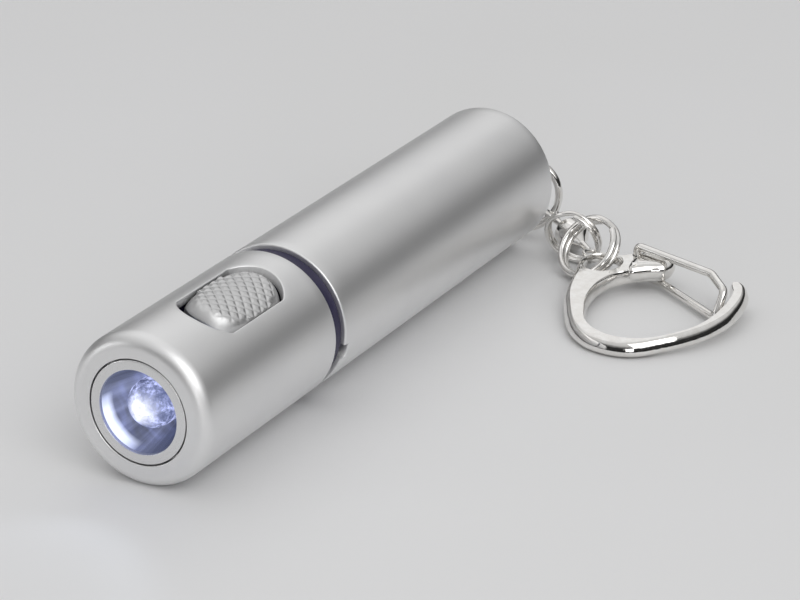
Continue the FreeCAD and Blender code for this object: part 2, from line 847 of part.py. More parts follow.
class Hanging:
    """Where one ring hangs: its centre and its own across, up and normal directions."""

    def __init__(self, name):
        self.name = name
        self.radius = size(f"{name}_radius")
        self.centre = Vector(size(f"{name}_x"), size(f"{name}_y"), size(f"{name}_z"))
        yaw = math.radians(size(f"{name}_yaw"))
        lean = math.radians(size(f"{name}_lean"))
        away = Vector(-math.sin(yaw), math.cos(yaw), 0)
        self.across = Vector(math.cos(yaw), math.sin(yaw), 0)
        self.upward = Vector(0, 0, math.cos(lean)) + away * math.sin(lean)
        self.normal = self.across.cross(self.upward)

    def point(self, degrees):
        angle = math.radians(degrees)
        return self.centre + self.across * (self.radius * math.cos(angle)) + \
            self.upward * (self.radius * math.sin(angle))

    def tangent(self, degrees):
        angle = math.radians(degrees)
        return self.across * -math.sin(angle) + self.upward * math.cos(angle)

    def hang(self, piece):
        """Put a ring drawn round the Z axis where this one hangs."""
        turned = Rotation(self.across, self.upward, self.normal, "XZY")
        piece.Placement = Placement(self.centre, turned)
        for axis in "xyz":
            piece.setExpression(f"Placement.Base.{axis}", formula(f"{self.name}_{axis}"))


def make_plain_ring(name):
    """A closed ring of round wire."""
    ring = doc.addObject("Part::Torus", name.title().replace("_", ""))
    ring.setExpression("Radius1", formula(f"{name}_radius"))
    ring.setExpression("Radius2", formula(f"{name}_wire"))
    Hanging(name).hang(keep(name, ring))


def swept_wire(path, radius):
    """Round wire of this radius along a smooth path."""
    start = path.Edges[0].valueAt(path.Edges[0].FirstParameter)
    heading = path.Edges[0].tangentAt(path.Edges[0].FirstParameter)
    section = Part.Wire(Part.makeCircle(radius, start, heading))
    return path.makePipeShell([section], True, True)


def make_coiled_ring(name):
    """Two turns of wire side by side, with one step across from turn to turn."""
    radius = size(f"{name}_radius")
    half_pitch = size(f"{name}_pitch") / 2
    crossing = size(f"{name}_crossing")
    step = size(f"{name}_step")
    points = []
    count = 120
    for index in range(count + 1):
        turn = step + (720 - 2 * step) * index / count
        across = min(max((turn - 360 + step) / (2 * step), 0), 1)
        smooth = across * across * (3 - 2 * across)
        angle = math.radians(crossing + turn)
        points.append(Vector(
            radius * math.cos(angle), radius * math.sin(angle), half_pitch * (2 * smooth - 1)))
    curve = Part.BSplineCurve()
    curve.interpolate(points)
    coil = doc.addObject("Part::Feature", name.title().replace("_", ""))
    coil.Shape = swept_wire(Part.Wire(curve.toShape()), size(f"{name}_wire"))
    Hanging(name).hang(keep(name, coil))


def make_loop(name, reach):
    """Small closed loop standing in the YZ plane, its centre this far along Y."""
    loop = doc.addObject("Part::Torus", name.title().replace("_", ""))
    loop.setExpression("Radius1", formula(f"{name}_radius"))
    loop.setExpression("Radius2", formula(f"{name}_wire"))
    loop.Placement = Placement(Vector(0, reach, 0), Rotation(Vector(0, 1, 0), 90))
    return loop


def make_swivel():
    """Ball-ended eye on the tail ring, turning in a cup whose own eye holds the link ring."""
    tail = Hanging("tail_ring")
    link = Hanging("link_ring")
    start = tail.point(size("tail_ring_grip"))
    finish = link.point(size("link_ring_grip"))
    along = finish - start
    reach = along.Length
    along.normalize()

    shank = new_cylinder(
        "Shank", "swivel_shank", "swivel_ball_reach - eye_loop_radius",
        ("0", "eye_loop_radius", "0"), Vector(0, 1, 0))
    ball = doc.addObject("Part::Sphere", "Ball")
    ball.setExpression("Radius", formula("swivel_ball"))
    ball.setExpression("Placement.Base.y", formula("swivel_ball_reach"))
    eye = joined("swivel_eye", [make_loop("eye_loop", 0), shank, ball])

    cup_end = "swivel_cup_start + swivel_cup_length"
    cavity = "swivel_cup_radius - swivel_cup_wall"
    cup = doc.addObject("PartDesign::Body", "Cup")
    sketch = new_sketch(cup, "YZ_Plane", "Profile")
    closed_profile(sketch, [
        ("swivel_cup_start", "swivel_mouth"),
        ("swivel_cup_start", "swivel_cup_radius - 0.3"),
        ("swivel_cup_start + 0.3", "swivel_cup_radius"),
        (f"{cup_end} - 0.4", "swivel_cup_radius"),
        (cup_end, "swivel_cup_radius - 0.4"),
        (cup_end, "swivel_neck"),
        (f"{cup_end} + swivel_neck_length", "swivel_neck"),
        (f"{cup_end} + swivel_neck_length", "0"),
        (f"{cup_end} - swivel_cup_wall", "0"),
        (f"{cup_end} - swivel_cup_wall", cavity),
        ("swivel_cup_start + swivel_cup_wall", cavity),
        ("swivel_cup_start + swivel_cup_wall", "swivel_mouth"),
    ])
    turned = cup.newObject("PartDesign::Revolution", "Turned")
    turned.Profile = sketch
    turned.ReferenceAxis = (sketch, ["H_Axis"])
    turned.Angle = 360
    cup.Tip = turned
    body = joined("swivel_body", [cup, make_loop("link_loop", reach)])

    for piece, tangent in (
            (eye, tail.tangent(size("tail_ring_grip"))), (body, link.tangent(size("link_ring_grip")))):
        facing = tangent - along * tangent.dot(along)
        facing.normalize()
        turned_to = Rotation(facing, along, facing.cross(along), "YXZ")
        piece.Placement = Placement(start, turned_to)


# ---------------------------------------------------------------- clip
# The clip is drawn flat round the centre of its eye. It lies with its bow on the table and
# its eye lifted a little by the split ring under it.

CLIP_OUTSIDE = [
    (-2.6, -1.17), (-2.05, -2.9), (-1.75, -4.4), (-1.25, -6.4), (-0.55, -8.4), (0.45, -10.4),
    (1.75, -12.7), (3.1, -14.6), (4.5, -15.9), (6.0, -16.8), (7.5, -17.2), (9.0, -17.3),
    (10.5, -17.05), (12.2, -16.2), (14.2, -14.1), (15.4, -12.6), (16.45, -11.0), (17.3, -9.3),
    (17.85, -7.6), (18.2, -5.7), (18.2, -3.6), (17.95, -1.3), (17.45, 0.4), (16.8, 1.6)]
CLIP_TIP = [(16.8, 1.6), (15.9, 2.35), (15.0, 2.3), (14.6, 1.65), (14.8, 0.9)]
CLIP_INSIDE = [
    (14.8, 0.9), (15.3, 0.35), (15.8, -0.6), (16.15, -2.2), (16.3, -4.4), (16.2, -6.9),
    (15.8, -9.0), (15.05, -10.7), (14.0, -12.3), (12.6, -13.9), (11.2, -14.8), (9.8, -15.25),
    (8.1, -15.25), (6.5, -14.7), (5.4, -14.0), (4.4, -13.0), (3.1, -10.6), (2.25, -8.5),
    (1.9, -6.6), (1.9, -4.5), (2.4, -2.6), (3.3, -1.3)]
CLIP_POST = [
    (3.3, -1.3), (4.3, -0.2), (5.6, 0.7), (6.9, 1.4), (7.4, 2.5), (7.0, 3.9), (5.6, 4.75),
    (3.8, 4.8), (2.1, 3.9)]
POST_BOSS = [
    (4.5, 0.1), (5.6, 0.7), (6.9, 1.4), (7.4, 2.5), (7.0, 3.9), (5.6, 4.75), (4.4, 4.7),
    (3.9, 3.4), (3.9, 1.2)]


def smooth_edge(points):
    curve = Part.BSplineCurve()
    curve.interpolate([Vector(across, up, 0) for across, up in points])
    return curve


def cut_circle(body, name, radius, across, up):
    """Round hole right up through the clip."""
    sketch = new_sketch(body, "XY_Plane", name)
    sketch.addGeometry(Part.Circle(Vector(5, 5, 0), Vector(0, 0, 1), 1.0), False)
    pin_point(sketch, 0, 3, across, up)
    index = sketch.addConstraint(Sketcher.Constraint("Radius", 0, 1.0))
    sketch.setExpression(f"Constraints[{index}]", formula(radius))
    pocket(body, sketch, True)


def lay_down(piece):
    """Put a piece drawn round the clip's eye where the clip lies, tilted about X."""
    piece.Placement = Placement(Vector(), Rotation(Vector(1, 0, 0), 3.9))
    piece.setExpression("Placement.Rotation.Angle", formula("clip_tilt"))
    for axis, text in zip("xyz", ("clip_x", "clip_y", "table_level + clip_lift")):
        piece.setExpression(f"Placement.Base.{axis}", formula(text))


def make_clip_body():
    """Cast D-shaped clip: eye, raised post for the gate, bow and hook tip."""
    body = doc.addObject("PartDesign::Body", "ClipBody")
    outline = new_sketch(body, "XY_Plane", "Outline")
    lug = size("clip_lug_radius")
    first = math.atan2(CLIP_OUTSIDE[0][1], CLIP_OUTSIDE[0][0]) + 2 * math.pi
    last = math.radians(75)
    lug_end = (lug * math.cos(last), lug * math.sin(last))
    lug_start = (lug * math.cos(first), lug * math.sin(first))
    outline.addGeometry(smooth_edge([lug_start] + CLIP_OUTSIDE[1:]), False)
    outline.addGeometry(smooth_edge(CLIP_TIP), False)
    outline.addGeometry(smooth_edge(CLIP_INSIDE), False)
    outline.addGeometry(smooth_edge(CLIP_POST + [lug_end]), False)
    lug_circle = Part.Circle(Vector(), Vector(0, 0, 1), lug)
    outline.addGeometry(Part.ArcOfCircle(lug_circle, last, first), False)
    band = body.newObject("PartDesign::Pad", "Band")
    band.Profile = outline
    band.setExpression("Length", formula("clip_thickness"))
    body.Tip = band
    doc.recompute()

    raised = new_sketch(body, "XY_Plane", "Boss")
    curve = Part.BSplineCurve()
    curve.interpolate([Vector(across, up, 0) for across, up in POST_BOSS], PeriodicFlag=True)
    raised.addGeometry(curve, False)
    boss = body.newObject("PartDesign::Pad", "Boss")
    boss.Profile = raised
    boss.setExpression("Length", formula("clip_thickness + clip_post_rise"))
    body.Tip = boss
    doc.recompute()

    relief = new_sketch(body, "XY_Plane", "Relief")
    closed_profile(relief, [
        ("-clip_lug_radius - 1", "-2.6"),
        ("1.6", "-2.6"),
        ("2.2", "-1"),
        ("2.2", "4.5"),
        ("-clip_lug_radius - 1", "4.5"),
    ])
    doc.recompute()
    before = body.Tip.Shape.Volume
    cut = body.newObject("PartDesign::Pocket", "CutUnder")
    cut.Profile = relief
    cut.Reversed = True
    cut.setExpression("Length", formula("clip_relief"))
    body.Tip = cut
    doc.recompute()
    if cut.Shape.Volume > before - 1:
        raise ValueError("the clip's underside is not relieved")

    cut_circle(body, "Eye", "clip_eye_radius", "0", "0")
    cut_circle(body, "PinHole", "gate_wire + gate_pin_clearance", "gate_pin_x", "gate_pin_y")
    cut_circle(body, "Notch", "clip_notch_radius", "gate_notch_x", "gate_notch_y")
    keep("clip_body", body)
    lay_down(body)


def bent_path(corners, bend):
    """Straight runs between the corners, with each corner rounded to the bend radius."""
    edges = []
    here = corners[0]
    for before, corner, after in zip(corners, corners[1:], corners[2:]):
        inward = (corner - before).normalize()
        outward = (after - corner).normalize()
        turn = math.acos(max(-1, min(1, inward.dot(outward))))
        setback = bend * math.tan(turn / 2)
        leave = corner - inward * setback
        rejoin = corner + outward * setback
        towards = (outward - inward).normalize()
        middle = corner + towards * (bend / math.cos(turn / 2) - bend)
        edges.append(Part.makeLine(here, leave))
        edges.append(Part.Arc(leave, middle, rejoin).toShape())
        here = rejoin
    edges.append(Part.makeLine(here, corners[-1]))
    return Part.Wire(edges)


def make_clip_gate():
    """Bent-wire gate: two pins in the post, two legs, and a bend that rests in the notch."""
    low = size("gate_low")
    high = size("gate_high")
    pin = (size("gate_pin_x"), size("gate_pin_y"))
    notch = (size("gate_notch_x"), size("gate_notch_y"))
    corners = [
        Vector(pin[0], pin[1], 1.1),
        Vector(pin[0], pin[1], high),
        Vector(13.1, 0.3, high - 0.05),
        Vector(notch[0], notch[1], high - 0.4),
        Vector(notch[0] - 0.3, notch[1] - 1.6, low + 0.35),
        Vector(6.05, 2.1, low),
        Vector(pin[0], pin[1], low),
        Vector(pin[0], pin[1], 0.6),
    ]
    gate = doc.addObject("Part::Feature", "ClipGate")
    gate.Shape = swept_wire(bent_path(corners, size("gate_bend")), size("gate_wire"))
    keep("clip_gate", gate)
    lay_down(gate)


# ---------------------------------------------------------------- run

make_head_shell()
make_rear_barrel()
make_bezel_ring()
make_reflector()
make_led()
make_led_holder()
make_switch_knob()
make_switch_inside()
make_electrics()
make_sleeve()
make_cell()
make_tail_spring()
make_tail_stud()
make_plain_ring("tail_ring")
make_swivel()
make_coiled_ring("link_ring")
make_coiled_ring("split_ring")
make_clip_body()
make_clip_gate()

doc.recompute()
for item in doc.Objects:
    if "Invalid" in item.State or "Error" in item.State:
        raise RuntimeError(f"{item.Label}: {item.State}")
for label, piece in nodes.items():
    if piece.Shape.isNull() or not piece.Shape.isValid():
        raise RuntimeError(f"{label}: bad shape")

os.makedirs("parts", exist_ok=True)
for label, piece in nodes.items():
    piece.Shape.exportStep(f"parts/{label}.step")
    box = piece.Shape.BoundBox
    print(f"{label}: {piece.Shape.Volume:.2f} mm3, solids {len(piece.Shape.Solids)}, "
          f"X {box.XMin:.2f}..{box.XMax:.2f} Y {box.YMin:.2f}..{box.YMax:.2f} Z {box.ZMin:.2f}..{box.ZMax:.2f}")
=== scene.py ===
"""Keychain flashlight: detailed pieces, materials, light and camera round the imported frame."""
import math

import bmesh
import bpy
from mathutils import Matrix, Vector


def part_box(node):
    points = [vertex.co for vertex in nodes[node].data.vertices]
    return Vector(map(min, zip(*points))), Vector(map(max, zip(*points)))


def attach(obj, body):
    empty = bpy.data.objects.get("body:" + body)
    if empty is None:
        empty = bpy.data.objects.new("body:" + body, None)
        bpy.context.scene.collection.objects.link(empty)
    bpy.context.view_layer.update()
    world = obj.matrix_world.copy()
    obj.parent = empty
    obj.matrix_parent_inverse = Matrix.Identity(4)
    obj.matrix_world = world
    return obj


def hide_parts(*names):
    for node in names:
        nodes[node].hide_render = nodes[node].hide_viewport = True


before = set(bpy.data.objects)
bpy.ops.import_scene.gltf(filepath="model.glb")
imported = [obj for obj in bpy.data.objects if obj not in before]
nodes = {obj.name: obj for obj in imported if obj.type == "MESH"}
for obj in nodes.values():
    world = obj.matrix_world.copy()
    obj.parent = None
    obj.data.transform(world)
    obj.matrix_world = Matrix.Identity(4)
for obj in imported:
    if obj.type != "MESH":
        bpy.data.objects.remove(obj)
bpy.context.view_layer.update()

# Pieces are drawn in millimetres and scaled to metres when they are placed.
MM = 0.001
TURN = 2 * math.pi


def node_box(name):
    """A CAD node's lowest and highest corners in millimetres."""
    low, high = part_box(name)
    return low / MM, high / MM


# ---------------------------------------------------------------- places and sizes

SWITCH_ROLL = math.radians(16.5)
TUBE_RADIUS = 8.0
BORE_RADIUS = 7.0
FRONT = node_box("head_shell")[0].y
HEAD_END = node_box("head_shell")[1].y - FRONT
BARREL_START = node_box("rear_barrel")[0].y - FRONT
BARREL_END = node_box("rear_barrel")[1].y - FRONT
TABLE = -TUBE_RADIUS

# The torch's own space: front face at Y = 0, switch at +Z.
TORCH = (Matrix.Scale(MM, 4) @ Matrix.Translation((0, FRONT, 0))
         @ Matrix.Rotation(SWITCH_ROLL, 4, "Y"))
FRAME_MM = Matrix.Scale(MM, 4)

WINDOW_HALF = 3.32
WINDOW_FRONT = 7.0
WINDOW_REAR = 20.6
WINDOW_END_RADIUS = 3.63


# ---------------------------------------------------------------- meshes

def rounded(corners, steps=5):
    """Corner points (a, b, radius) of a closed outline, with each corner rounded off."""
    points = []
    count = len(corners)
    for index, (a, b, radius) in enumerate(corners):
        here = Vector((a, b))
        if radius == 0:
            points.append((a, b))
            continue
        back = (Vector(corners[index - 1][:2]) - here).normalized()
        ahead = (Vector(corners[(index + 1) % count][:2]) - here).normalized()
        half = back.angle(ahead) / 2
        centre = here + (back + ahead).normalized() * (radius / math.sin(half))
        first = here + back * (radius / math.tan(half)) - centre
        last = here + ahead * (radius / math.tan(half)) - centre
        sweep = first.angle_signed(last)
        for step in range(steps + 1):
            spin = Matrix.Rotation(-sweep * step / steps, 2)
            points.append(tuple(centre + spin @ first))
    return points


def lathe(profile, segments=160, slots=()):
    """Turn a closed outline of (distance along Y, radius) round the Y axis.

    slots are (angle, half angle, depth, reach): columns inside the slot have every profile
    point nearer than reach moved back along Y by depth, which leaves a square notch.
    """
    columns = [(TURN * index / segments, 0, 0) for index in range(segments)]
    for angle, half, depth, reach in slots:
        outside = [c for c in columns if abs(c[0] - angle) > half * 1.05]
        inside = [(angle + half * k / 3, depth, reach) for k in range(-3, 4)]
        edges = [(angle - half, 0, 0), (angle + half, 0, 0)]
        before = [c for c in outside if c[0] < angle]
        after = [c for c in outside if c[0] > angle]
        columns = before + [edges[0]] + inside + [edges[1]] + after
    bm = bmesh.new()
    rings = []
    for angle, depth, reach in columns:
        ring = []
        for along, radius in profile:
            shift = depth if along < reach else 0
            ring.append(bm.verts.new((radius * math.sin(angle), along + shift, radius * math.cos(angle))))
        rings.append(ring)
    count = len(profile)
    for index, ring in enumerate(rings):
        following = rings[(index + 1) % len(rings)]
        for near in range(count):
            far = (near + 1) % count
            if profile[near][1] < 1e-6 and profile[far][1] < 1e-6:
                continue
            bm.faces.new((ring[near], ring[far], following[far], following[near]))
    return bm


def tube_along(points, radius, sides=20, closed=False):
    """Round wire along the points, with its ends slightly rounded when it is open."""
    bm = bmesh.new()
    points = [Vector(p) for p in points]
    count = len(points)
    tangents = []
    for index in range(count):
        if closed:
            tangents.append((points[(index + 1) % count] - points[index - 1]).normalized())
        else:
            ahead = points[min(index + 1, count - 1)]
            tangents.append((ahead - points[max(index - 1, 0)]).normalized())
    side = tangents[0].orthogonal().normalized()
    rings = []

    def add_ring(centre, tangent, size):
        across = tangent.cross(side).normalized()
        ring = []
        for step in range(sides):
            angle = TURN * step / sides
            ring.append(bm.verts.new(centre + size * (math.cos(angle) * side + math.sin(angle) * across)))
        rings.append(ring)

    for index, (point, tangent) in enumerate(zip(points, tangents)):
        side = (side - tangent * side.dot(tangent)).normalized()
        if index == 0 and not closed:
            add_ring(point, tangent, radius * 0.82)
            add_ring(point + tangent * radius * 0.16, tangent, radius)
        elif index == count - 1 and not closed:
            add_ring(point - tangent * radius * 0.16, tangent, radius)
            add_ring(point, tangent, radius * 0.82)
        else:
            add_ring(point, tangent, radius)
    spans = len(rings) if closed else len(rings) - 1
    for index in range(spans):
        ring = rings[index]
        following = rings[(index + 1) % len(rings)]
        for step in range(sides):
            beside = (step + 1) % sides
            bm.faces.new((ring[step], ring[beside], following[beside], following[step]))
    if not closed:
        bm.faces.new(rings[0])
        bm.faces.new(rings[-1])
    return bm


def ring_points(centre, across, upward, radius, count):
    """Evenly spaced points round a circle."""
    points = []
    for step in range(count):
        angle = TURN * step / count
        points.append(centre + across * (radius * math.cos(angle)) + upward * (radius * math.sin(angle)))
    return points


def merge(*parts):
    """One mesh out of several."""
    whole = bmesh.new()
    for part in parts:
        holder = bpy.data.meshes.new("holder")
        part.to_mesh(holder)
        part.free()
        whole.from_mesh(holder)
        bpy.data.meshes.remove(holder)
    return whole


def mesh_object(name, bm, place, sharp=32):
    """Clean the mesh, put it in place and make an object of it."""
    bmesh.ops.remove_doubles(bm, verts=bm.verts, dist=1e-5)
    bmesh.ops.dissolve_degenerate(bm, dist=1e-5, edges=bm.edges)
    bmesh.ops.recalc_face_normals(bm, faces=bm.faces)
    mesh = bpy.data.meshes.new(name)
    bm.to_mesh(mesh)
    bm.free()
    mesh.transform(place)
    mesh.polygons.foreach_set("use_smooth", [True] * len(mesh.polygons))
    mesh.set_sharp_from_angle(angle=math.radians(sharp))
    obj = bpy.data.objects.new(name, mesh)
    bpy.context.scene.collection.objects.link(obj)
    return obj


def settle(obj, body, slot, material, *replaced):
    """Give a piece its finish and the body it rides on, and hide the nodes it replaces."""
    obj.data.materials.clear()
    obj.data.materials.append(material)
    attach(obj, body)
    if replaced:
        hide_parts(*replaced)
    return obj


# ---------------------------------------------------------------- materials

# Turn of the painted lamp crescent, drawn as emission in the reflector cone.
PAINTED_CRESCENT_TURN = math.radians(125)


class Shader:
    """A material's node tree with short calls for the nodes used here."""

    def __init__(self, name, **sockets):
        self.material = bpy.data.materials.new(name)
        self.material.use_nodes = True
        self.nodes = self.material.node_tree.nodes
        self.links = self.material.node_tree.links
        self.surface = self.nodes["Principled BSDF"]
        for label, value in sockets.items():
            self.surface.inputs[label.replace("_", " ")].default_value = value
        coordinates = self.nodes.new("ShaderNodeTexCoord")
        scaled = self.nodes.new("ShaderNodeVectorMath")
        scaled.operation = "SCALE"
        scaled.inputs["Scale"].default_value = 1 / MM
        self.links.new(coordinates.outputs["Object"], scaled.inputs[0])
        self.place = scaled.outputs[0]

    def node(self, kind, inputs=None, **settings):
        made = self.nodes.new(kind)
        for label, value in settings.items():
            setattr(made, label, value)
        for label, value in (inputs or {}).items():
            if isinstance(value, bpy.types.NodeSocket):
                self.links.new(value, made.inputs[label])
            else:
                made.inputs[label].default_value = value
        return made

    def stretched(self, factors, turn=0.0):
        """The place in millimetres, stretched along the axes."""
        spun = self.node("ShaderNodeMapping", {"Vector": self.place, "Scale": factors})
        spun.inputs["Rotation"].default_value = (0, turn, 0)
        return spun.outputs[0]

    def noise(self, scale, detail=3.0, roughness=0.55, vector=None):
        made = self.node("ShaderNodeTexNoise", {
            "Vector": vector or self.place, "Scale": scale, "Detail": detail, "Roughness": roughness})
        return made.outputs["Fac"]

    def span(self, value, low, high, start=0.0, end=1.0):
        """value from start..end mapped to low..high and held there."""
        made = self.node("ShaderNodeMapRange", {
            "Value": value, "From Min": start, "From Max": end, "To Min": low, "To Max": high})
        return made.outputs[0]

    def math(self, operation, first, second=0.0):
        made = self.node("ShaderNodeMath", {0: first, 1: second}, operation=operation)
        return made.outputs[0]

    def mix(self, factor, first, second):
        made = self.nodes.new("ShaderNodeMix")
        made.data_type = "RGBA"
        colours = [socket for socket in made.inputs if socket.type == "RGBA"]
        for socket, value in ((made.inputs[0], factor), (colours[0], first), (colours[1], second)):
            if isinstance(value, bpy.types.NodeSocket):
                self.links.new(value, socket)
            else:
                socket.default_value = value
        return [socket for socket in made.outputs if socket.type == "RGBA"][0]

    def set(self, label, value):
        self.links.new(value, self.surface.inputs[label])

    def bump(self, height, strength, distance):
        """Add a bump; distance is in metres."""
        made = self.node("ShaderNodeBump", {"Height": height, "Strength": strength, "Distance": distance})
        already = self.surface.inputs["Normal"].links
        if already:
            self.links.new(already[0].from_socket, made.inputs["Normal"])
        self.links.new(made.outputs[0], self.surface.inputs["Normal"])


def grey(level, tint=(1.0, 1.0, 1.0)):
    """Grey of a level, slightly tinted."""
    return (level * tint[0], level * tint[1], level * tint[2], 1.0)


def satin_aluminium(name, level, roughness):
    """Bead-blasted aluminium: fine grain, faint turning marks and slow changes in shade."""
    made = Shader(name, Metallic=1.0, Roughness=roughness)
    cloud = made.noise(0.16, detail=2.0)
    made.set("Base Color", made.mix(
        made.span(cloud, 0, 1, 0.3, 0.7), grey(level * 0.97, (1, 1, 1.005)), grey(level, (1, 1, 1))))
    grain = made.noise(14.0, detail=2.0)
    made.set("Roughness", made.span(grain, roughness - 0.05, roughness + 0.07, 0.3, 0.7))
    made.bump(grain, 0.14, 0.00002)
    turning = made.noise(1.0, detail=2.0, vector=made.stretched((0.15, 9.0, 0.15)))
    made.bump(turning, 0.05, 0.00002)
    return made.material


def nickel(name, level=0.86, roughness=0.06):
    """Nickel plate over brass or a casting: bright, slightly warm, with faint ripples."""
    made = Shader(name, Metallic=1.0, Roughness=roughness)
    cloud = made.noise(0.9, detail=3.0)
    made.set("Base Color", made.mix(made.span(cloud, 0, 1, 0.3, 0.7),
                                    grey(level * 0.9, (1.0, 0.975, 0.94)),
                                    grey(level, (1, 0.99, 0.97))))
    made.set("Roughness", made.span(made.noise(5.0), roughness - 0.04, roughness + 0.1, 0.35, 0.75))
    made.bump(made.noise(1.1, detail=2.0), 0.16, 0.00008)
    return made.material


def plastic(name, colour, roughness=0.45):
    """Moulded plastic with a fine grain."""
    made = Shader(name, Roughness=roughness)
    cloud = made.noise(0.5, detail=2.0)
    darker = tuple(c * 0.85 for c in colour[:3]) + (1.0,)
    made.set("Base Color", made.mix(made.span(cloud, 0, 1, 0.3, 0.7), darker, tuple(colour[:3]) + (1.0,)))
    speckle = made.noise(9.0, detail=2.0)
    made.set("Roughness", made.span(speckle, roughness - 0.06, roughness + 0.08, 0.3, 0.7))
    made.bump(speckle, 0.25, 0.00003)
    return made.material


def plated(name, colour, roughness=0.25):
    """Thin rolled or plated metal with lengthways marks."""
    made = Shader(name, Metallic=1.0, Roughness=roughness)
    marks = made.noise(1.0, detail=3.0, vector=made.stretched((6.0, 0.4, 6.0)))
    worn = tuple(c * 0.8 for c in colour[:3]) + (1.0,)
    made.set("Base Color", made.mix(made.span(marks, 0, 1, 0.35, 0.7), tuple(colour[:3]) + (1.0,), worn))
    made.set("Roughness", made.span(marks, roughness - 0.05, roughness + 0.12, 0.3, 0.7))
    made.bump(marks, 0.1, 0.00003)
    return made.material


def distance_from_axis(made):
    """Distance from the tube's axis in millimetres, and the place split along the axes."""
    parts = made.node("ShaderNodeSeparateXYZ", {0: made.place})
    squares = made.math("ADD", made.math("MULTIPLY", parts.outputs["X"], parts.outputs["X"]),
                        made.math("MULTIPLY", parts.outputs["Z"], parts.outputs["Z"]))
    return made.math("SQRT", squares), parts


def mirror_with_painted_glow(name):
    """Metallised reflector with painted light: a dim navy base colour painted for the dark room it reflects,
    and an emitted glow painted where it throws the lamp out.
    """
    made = Shader(name, Metallic=1.0, Roughness=0.14)
    radius, parts = distance_from_axis(made)
    angle = made.math("ARCTAN2", parts.outputs["X"], parts.outputs["Z"])
    rays = made.node("ShaderNodeCombineXYZ", {
        "X": made.math("COSINE", angle), "Y": made.math("SINE", angle),
        "Z": made.math("MULTIPLY", radius, 0.05)})
    streaks = made.noise(3.0, detail=3.0, vector=rays.outputs[0])
    # Dim navy base colour, mottled by the streaks: a painted reflection of the dark room.
    made.set("Base Color", made.mix(
        made.span(streaks, 0, 1, 0.35, 0.65), (0.13, 0.145, 0.23, 1), (0.34, 0.37, 0.50, 1)))
    made.set("Roughness", made.span(streaks, 0.1, 0.24, 0.3, 0.7))
    made.bump(streaks, 0.2, 0.0001)
    # Painted reflection of the lamp in the cone, drawn as emission: a crescent at the rim, low on the side
    # away from the clip, a patch on the far side and a faint wash.
    facing = made.math("COSINE", made.math("ADD", angle, PAINTED_CRESCENT_TURN))
    painted_crescent = made.math("MULTIPLY", made.span(radius, 0, 1, 4.16, 4.3), made.span(facing, 0, 1, 0.70, 0.93))
    painted_far_glow = made.math("MULTIPLY", made.span(facing, 1, 0, -0.8, -0.35),
                         made.span(streaks, 0.3, 1.0, 0.3, 0.7))
    painted_wash = made.math("MULTIPLY", made.span(facing, 0, 1, 0.1, 1.0), made.span(streaks, 0.12, 0.3, 0.3, 0.7))
    painted_glow = made.math("ADD", made.math("ADD", made.math("MULTIPLY", painted_crescent, 1.1),
                                      made.math("MULTIPLY", painted_far_glow, 1.1)), painted_wash)
    # This emission is painted light standing in for the lamp's reflection; the reflector is no lamp.
    made.surface.inputs["Emission Color"].default_value = (0.74, 0.80, 1.0, 1)
    made.set("Emission Strength", painted_glow)
    return made.material


def lit_lens(name):
    """Clear LED epoxy glowing from its chip: white-hot round the axis, mottled blue outside."""
    made = Shader(name, Roughness=0.06, IOR=1.5)
    made.surface.inputs["Base Color"].default_value = (0.16, 0.19, 0.34, 1)
    radius = distance_from_axis(made)[0]
    blotch = made.noise(0.9, detail=3.0, roughness=0.6)
    speck = made.noise(2.6, detail=4.0, roughness=0.65)
    wobble = made.math("ADD", radius, made.span(speck, -0.45, 0.45, 0.3, 0.7))
    core = made.span(wobble, 1, 0, 0.6, 1.9)
    cells = made.math("MULTIPLY", made.span(blotch, 0.25, 1.1, 0.38, 0.62),
                      made.span(speck, 0.12, 1.1, 0.38, 0.62))
    made.set("Emission Color", made.mix(core, (0.55, 0.60, 0.95, 1), (0.93, 0.95, 1.0, 1)))
    made.set("Emission Strength", made.math("ADD", made.math("MULTIPLY", core, 0.75), cells))
    made.bump(speck, 0.4, 0.0003)
    return made.material


def glowing(name):
    """The lit chip."""
    made = Shader(name, Roughness=0.4)
    speckle = made.noise(6.0)
    made.surface.inputs["Emission Color"].default_value = (0.85, 0.92, 1.0, 1)
    made.set("Emission Strength", made.span(speckle, 8.0, 14.0, 0.3, 0.7))
    return made.material


def solder_mask(name):
    """Green circuit board with fine tracks under its mask."""
    made = Shader(name, Roughness=0.35)
    tracks = made.node("ShaderNodeTexWave", {
        "Vector": made.stretched((1.0, 1.0, 1.0), SWITCH_ROLL), "Scale": 0.55, "Distortion": 3.0})
    made.set("Base Color", made.mix(
        made.span(tracks.outputs["Fac"], 0, 1, 0.45, 0.6), (0.01, 0.10, 0.035, 1), (0.03, 0.19, 0.07, 1)))
    made.bump(tracks.outputs["Fac"], 0.2, 0.00003)
    return made.material


def shrink_film(name):
    """Cell wrap: dark film with a pale band towards the positive end."""
    made = Shader(name, Roughness=0.22)
    parts = made.node("ShaderNodeSeparateXYZ", {0: made.place})
    low = node_box("cell_wrap")[0]
    band = made.span(parts.outputs["Y"], 1, 0, low.y + 11.0, low.y + 11.3)
    crinkle = made.noise(1.4, detail=3.0, vector=made.stretched((1.0, 0.3, 1.0)))
    made.set("Base Color", made.mix(band, (0.03, 0.035, 0.045, 1), (0.55, 0.33, 0.08, 1)))
    made.set("Roughness", made.span(crinkle, 0.15, 0.32, 0.3, 0.7))
    made.bump(crinkle, 0.2, 0.0001)
    return made.material


def pale_table(name):
    """Matt pale board under the torch."""
    made = Shader(name, Roughness=0.55)
    cloud = made.noise(0.012, detail=2.0)
    made.set("Base Color", made.mix(made.span(cloud, 0, 1, 0.3, 0.7), grey(0.76), grey(0.78, (1, 1, 1.01))))
    made.set("Roughness", made.span(made.noise(1.5), 0.5, 0.6, 0.3, 0.7))
    return made.material


